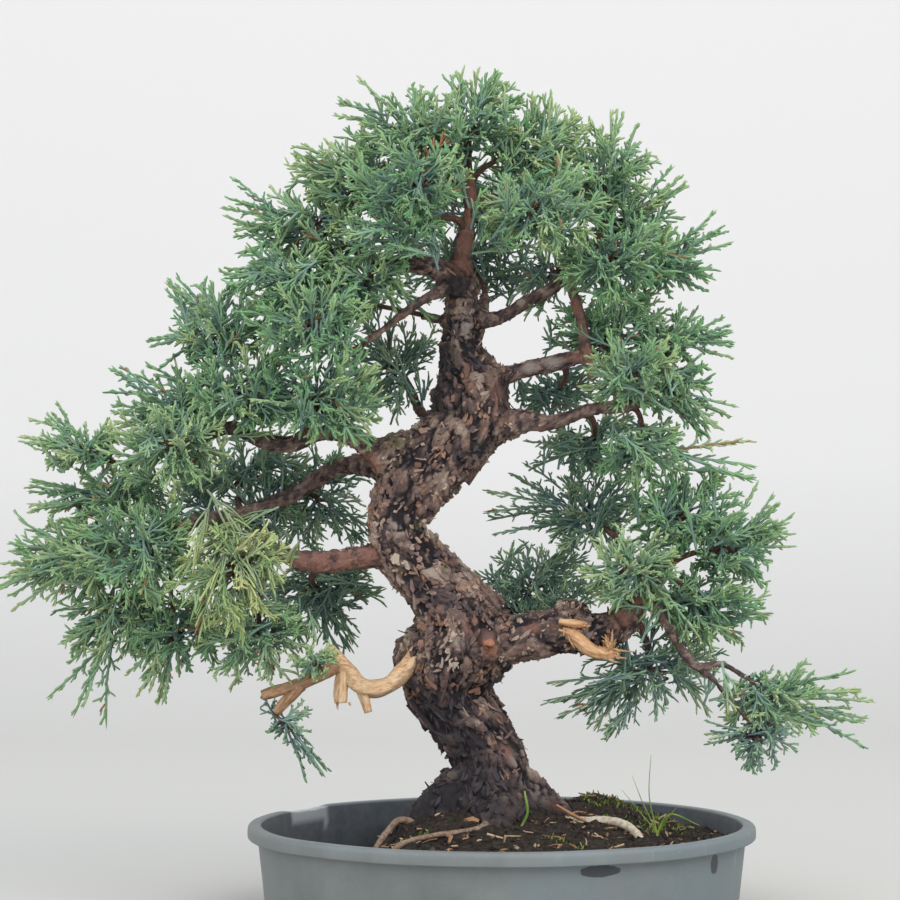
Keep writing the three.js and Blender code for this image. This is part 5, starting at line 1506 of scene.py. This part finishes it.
def build_soil():
    """The soil's crumbled surface, with a plain underside that fits the pot."""
    sides, rings = SOIL_GRID
    rim = inner_radius(SOIL_LEVEL) - 2 * GAP
    angle = np.arange(sides) / sides * 2 * math.pi
    share = np.linspace(1, 0.004, rings)[:, None]
    x, y = rim * share * np.cos(angle), rim * share * np.sin(angle)
    z = np.maximum(crumbled(x, y), CORNER_RADIUS + 1)
    fit = np.where(share > 0.97, (inner_radius(z) - 2 * GAP) / rim, 1.0)
    top = np.stack([x * fit, y * fit, z], -1)
    underside = [
        (AXIS_RADIUS, WALL + GAP), (WALL_FOOT_RADIUS - WALL - CORNER_RADIUS - 2 * GAP, WALL + GAP),
        (inner_radius(CORNER_RADIUS) - 2 * GAP, CORNER_RADIUS + GAP),
    ]
    base = lathe(underside, sides)[0].reshape(len(underside), sides, 3)
    points = np.concatenate([base, top]).reshape(-1, 3)
    obj = add_object("soil_surface", points, ring_quads(rings + len(underside), sides), soil_material())
    dress(obj)
    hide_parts("soil")


# What lies on the soil


STREWN_REACH = 115
TRUNK_CLEARANCE = 30
CRUMB_COUNT = 2200
SCRAP_COUNT = 420
MOSS_COUNT = 3600
MOSS_ROOT = 0.5
# Scraps of bark and straw that can be made out on the photograph: x, y, z and radius.
SCRAPS = [
    [(28, -8, 56.5, 0.9), (36, -12, 52, 1.1), (43, -15, 49, 0.7)],
    [(35, -12, 52.5, 0.6), (39, -10, 53.5, 0.5), (43, -11, 53, 0.3)],
    [(-19, -34, 51, 1.6), (-15, -35, 52, 1.9), (-12, -35, 51.2, 1.2)],
    [(-28, -50, 45.6, 0.7), (-26, -54, 46, 1.1), (-27, -60, 43.5, 0.7)],
]
SCRAP_TONE = 0.5
# Mossy places: the centre and the reach in x and y.
MOSS_SPOTS = [
    (58, 30, 17, 9), (64, 6, 16, 8), (62, -72, 22, 6), (30, -50, 12, 4), (-46, -44, 10, 5), (88, 24, 16, 10),
    (-20, 60, 30, 14),
]


def anywhere(x, y):
    return np.ones_like(x, bool)


def mossy(x, y):
    return np.any([((x - a) / w) ** 2 + ((y - b) / h) ** 2 < 1 for a, b, w, h in MOSS_SPOTS], axis=0)


def scatter(rng, count, where):
    """Random places on the soil, kept where where(x, y) is true."""
    x, y = rng.uniform(-118, 118, count * 3), rng.uniform(-118, 118, count * 3)
    is_free = np.hypot(x - TRUNK_FOOT[0], y - TRUNK_FOOT[1]) > TRUNK_CLEARANCE
    inside = (np.hypot(x, y) < STREWN_REACH) & is_free & where(x, y)
    x, y = x[inside][:count], y[inside][:count]
    return np.column_stack([x, y, crumbled(x, y)])


def scattered_piece(name, slot, material, points, faces, tone, each):
    """Many small bodies as one piece. Each has a tone of its own and the same number of points."""
    obj = add_object(name, points, faces, material, smooth=False)
    value = np.repeat(tone, each)
    store_colour(obj, "tint", value, value, value)
    dress(obj)


def lump_mesh(centres, sizes, rng):
    """Small uneven eight-sided lumps."""
    corners = np.array([(1, 0, 0), (0, 1, 0), (-1, 0, 0), (0, -1, 0), (0, 0, 1), (0, 0, -1)], float)
    count = len(centres)
    shape = corners[None] * rng.uniform(0.6, 1.2, (count, 6, 1)) * sizes[:, None, :]
    turn = rng.uniform(0, 2 * math.pi, count)
    c, s = np.cos(turn)[:, None], np.sin(turn)[:, None]
    x, y = shape[:, :, 0] * c - shape[:, :, 1] * s, shape[:, :, 0] * s + shape[:, :, 1] * c
    points = np.stack([x, y, shape[:, :, 2]], -1) + centres[:, None]
    pattern = [(0, 1, 4), (1, 2, 4), (2, 3, 4), (3, 0, 4), (1, 0, 5), (2, 1, 5), (3, 2, 5), (0, 3, 5)]
    return points.reshape(-1, 3), repeated(pattern, count, len(corners))


def build_crumbs(rng):
    crumbs = scatter(rng, CRUMB_COUNT, anywhere)
    sizes = rng.uniform(0.5, 1.9, (len(crumbs), 1)) * rng.uniform(0.7, 1.2, (len(crumbs), 3))
    lumps = lump_mesh(crumbs, sizes, rng)
    tone = rng.random(len(crumbs)) ** 2.5
    scattered_piece("soil_crumbs", "soil", tinted_material("crumb", CRUMB_COLOURS, 0.95), *lumps, tone, 6)


def build_scraps(rng):
    """Straw and bark scraps strewn at random, and a few at their own places."""
    bits = scatter(rng, SCRAP_COUNT, anywhere)
    way = unit(np.column_stack([rng.normal(size=(len(bits), 2)), rng.normal(0, 0.25, len(bits))]))
    length = rng.uniform(2, 9, len(bits))
    parts = []
    for place, direction, size in zip(bits, way, length):
        thick = rng.uniform(0.3, 0.75)
        half = direction * size / 2
        bent = place + rng.normal(0, 0.3, 3)
        rows = np.array([[*(place - half), thick], [*bent, thick], [*(place + half), thick * 0.6]])
        rows[:, 2] += 0.5
        parts.append(tube(rows, 4))
    parts += [tube(np.array(rows, float), 4) for rows in SCRAPS]
    tone = rng.random(len(parts)) ** 0.8
    tone[-len(SCRAPS):] = SCRAP_TONE
    straw = tinted_material("straw", STRAW_COLOURS)
    scattered_piece("straw_and_scraps", "bark", straw, *joined(parts), tone, len(parts[0][0]))


def build_moss(rng):
    tufts = scatter(rng, MOSS_COUNT, mossy)
    count = len(tufts)
    way = unit(np.column_stack([rng.normal(0, 0.5, (count, 2)), np.ones(count)]))
    bend, length = rng.normal(0, 0.2, (count, 3)), rng.uniform(1.4, 3.2, count)
    root, radius = tufts - MOSS_ROOT * way, np.full(count, 0.4)
    none, full = np.zeros(count), np.ones(count)
    points, faces, _ = cord_mesh(root, way, bend, length, radius, none, full, none, none, rng)
    moss = tinted_material("moss", MOSS_COLOURS)
    scattered_piece("moss", "grass", moss, points, faces, rng.random(count), len(points) // count)


def build_litter():
    rng = np.random.default_rng(SEED + 4)
    build_crumbs(rng)
    build_scraps(rng)
    build_moss(rng)


# Grass: a root place on the soil, blades as offsets of x, y, z from it, and how wide each blade is.
GRASS_ROOT = (80, -4)
GRASS_BLADES = [
    ([(-4, 2, 22), (-3, 4, 43)], 0.4), ([(-8, -1, 20), (-13, -2, 33)], 0.35),
    ([(6, -3, 13), (21, -7, 8)], 0.75), ([(-9, 3, 14), (-18, 4, 25)], 0.35),
    ([(4, -5, 10), (9, -8, 17)], 0.5),
]
LONE_BLADE = [(9, -37, 48, 0.7), (12.5, -38.5, 56, 0.8), (11, -38, 67, 0.5)]


def build_grass():
    x, y = GRASS_ROOT
    ground = float(soil_height(np.array(x, float), np.array(y, float)))
    lines = [LONE_BLADE]
    for blade, wide in GRASS_BLADES:
        rows = [(x, y, ground - 4, wide), (x, y, ground + 2, wide)]
        rows += [(x + a, y + b, ground + c, wide * share) for (a, b, c), share in zip(blade, (0.8, 0.3))]
        lines.append(rows)
    parts = [tube(smooth_curve(rows, 2.5), 6) for rows in lines]
    obj = add_object("grass_blades", *joined(parts), grass_material())
    dress(obj)
    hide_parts("grass_tuft")


# Backdrop, lights and camera


CAMERA_PLACE = (-26.5, -1684, 238.6)
LENS = 130.8
SENSOR_WIDTH = 36
SWEEP_START = 1000
FLOOR_REACH = 7000.0
SWEEP_RADIUS = 1500
BACKDROP_HEIGHT = 3600.0
WORLD_COLOUR = (0.84, 0.92, 1.04, 1)
WORLD_STRENGTH = 1.3
LAMP_COLOUR = (1.0, 0.945, 0.86)
# The soft lamps: a place and what they look at in mm, their size in metres and their power in watts.
LAMPS = {
    "key": ((800, -1500, 1500), (0, 0, 220), 1.3, 18.5),
    "fill": ((-1300, -1400, 700), (0, 0, 200), 1.6, 6),
    "top": ((0, 300, 1900), (0, 0, 200), 1.6, 5.5),
}


def build_backdrop():
    """A plain pale floor that sweeps up into a wall."""
    profile = [(-FLOOR_REACH, 0.0), (SWEEP_START, 0.0)]
    for a in np.linspace(0.05, math.pi / 2, 32):
        profile.append((SWEEP_START + SWEEP_RADIUS * math.sin(a), SWEEP_RADIUS * (1 - math.cos(a))))
    profile.append((SWEEP_START + SWEEP_RADIUS, BACKDROP_HEIGHT))
    points = [(x, y, z) for x in (-FLOOR_REACH, FLOOR_REACH) for y, z in profile]
    count = len(profile)
    faces = [(i, i + count, i + count + 1, i + 1) for i in range(count - 1)]
    sweep = add_object("backdrop", points, faces, backdrop_material())


def build_lights():
    """Soft studio light: a pale world and three area lamps."""
    world = bpy.data.worlds.new("studio")
    bpy.context.scene.world = world
    world.use_nodes = True
    background = world.node_tree.nodes["Background"]
    background.inputs["Color"].default_value = WORLD_COLOUR
    background.inputs["Strength"].default_value = WORLD_STRENGTH
    for name, (place, aim, size, power) in LAMPS.items():
        lamp = bpy.data.lights.new(name, "AREA")
        lamp.size = size
        lamp.energy = power
        lamp.color = LAMP_COLOUR
        obj = bpy.data.objects.new(name, lamp)
        obj.location = Vector(place) * MM
        obj.rotation_euler = (Vector(aim) - Vector(place)).to_track_quat("-Z", "Y").to_euler()
        bpy.context.scene.collection.objects.link(obj)


def build_camera():
    """The photo's camera, level with the middle of the tree."""
    camera = bpy.data.objects.new("camera", bpy.data.cameras.new("camera"))
    camera.location = Vector(CAMERA_PLACE) * MM
    camera.rotation_euler = (math.pi / 2, 0, 0)
    camera.data.lens = LENS
    camera.data.sensor_width = SENSOR_WIDTH
    bpy.context.scene.collection.objects.link(camera)
    bpy.context.scene.camera = camera
    bpy.context.scene.view_settings.view_transform = "Standard"


build_pot()
build_soil()
build_litter()
build_grass()
points, normals, thickness, direction, plate, marks = build_bark()
build_chips(points, normals, thickness, direction, plate, marks)
build_shreds(points, normals, thickness, direction, marks)
build_stub()
build_bare_wood()
build_roots()
build_foliage()
build_backdrop()
build_lights()
build_camera()
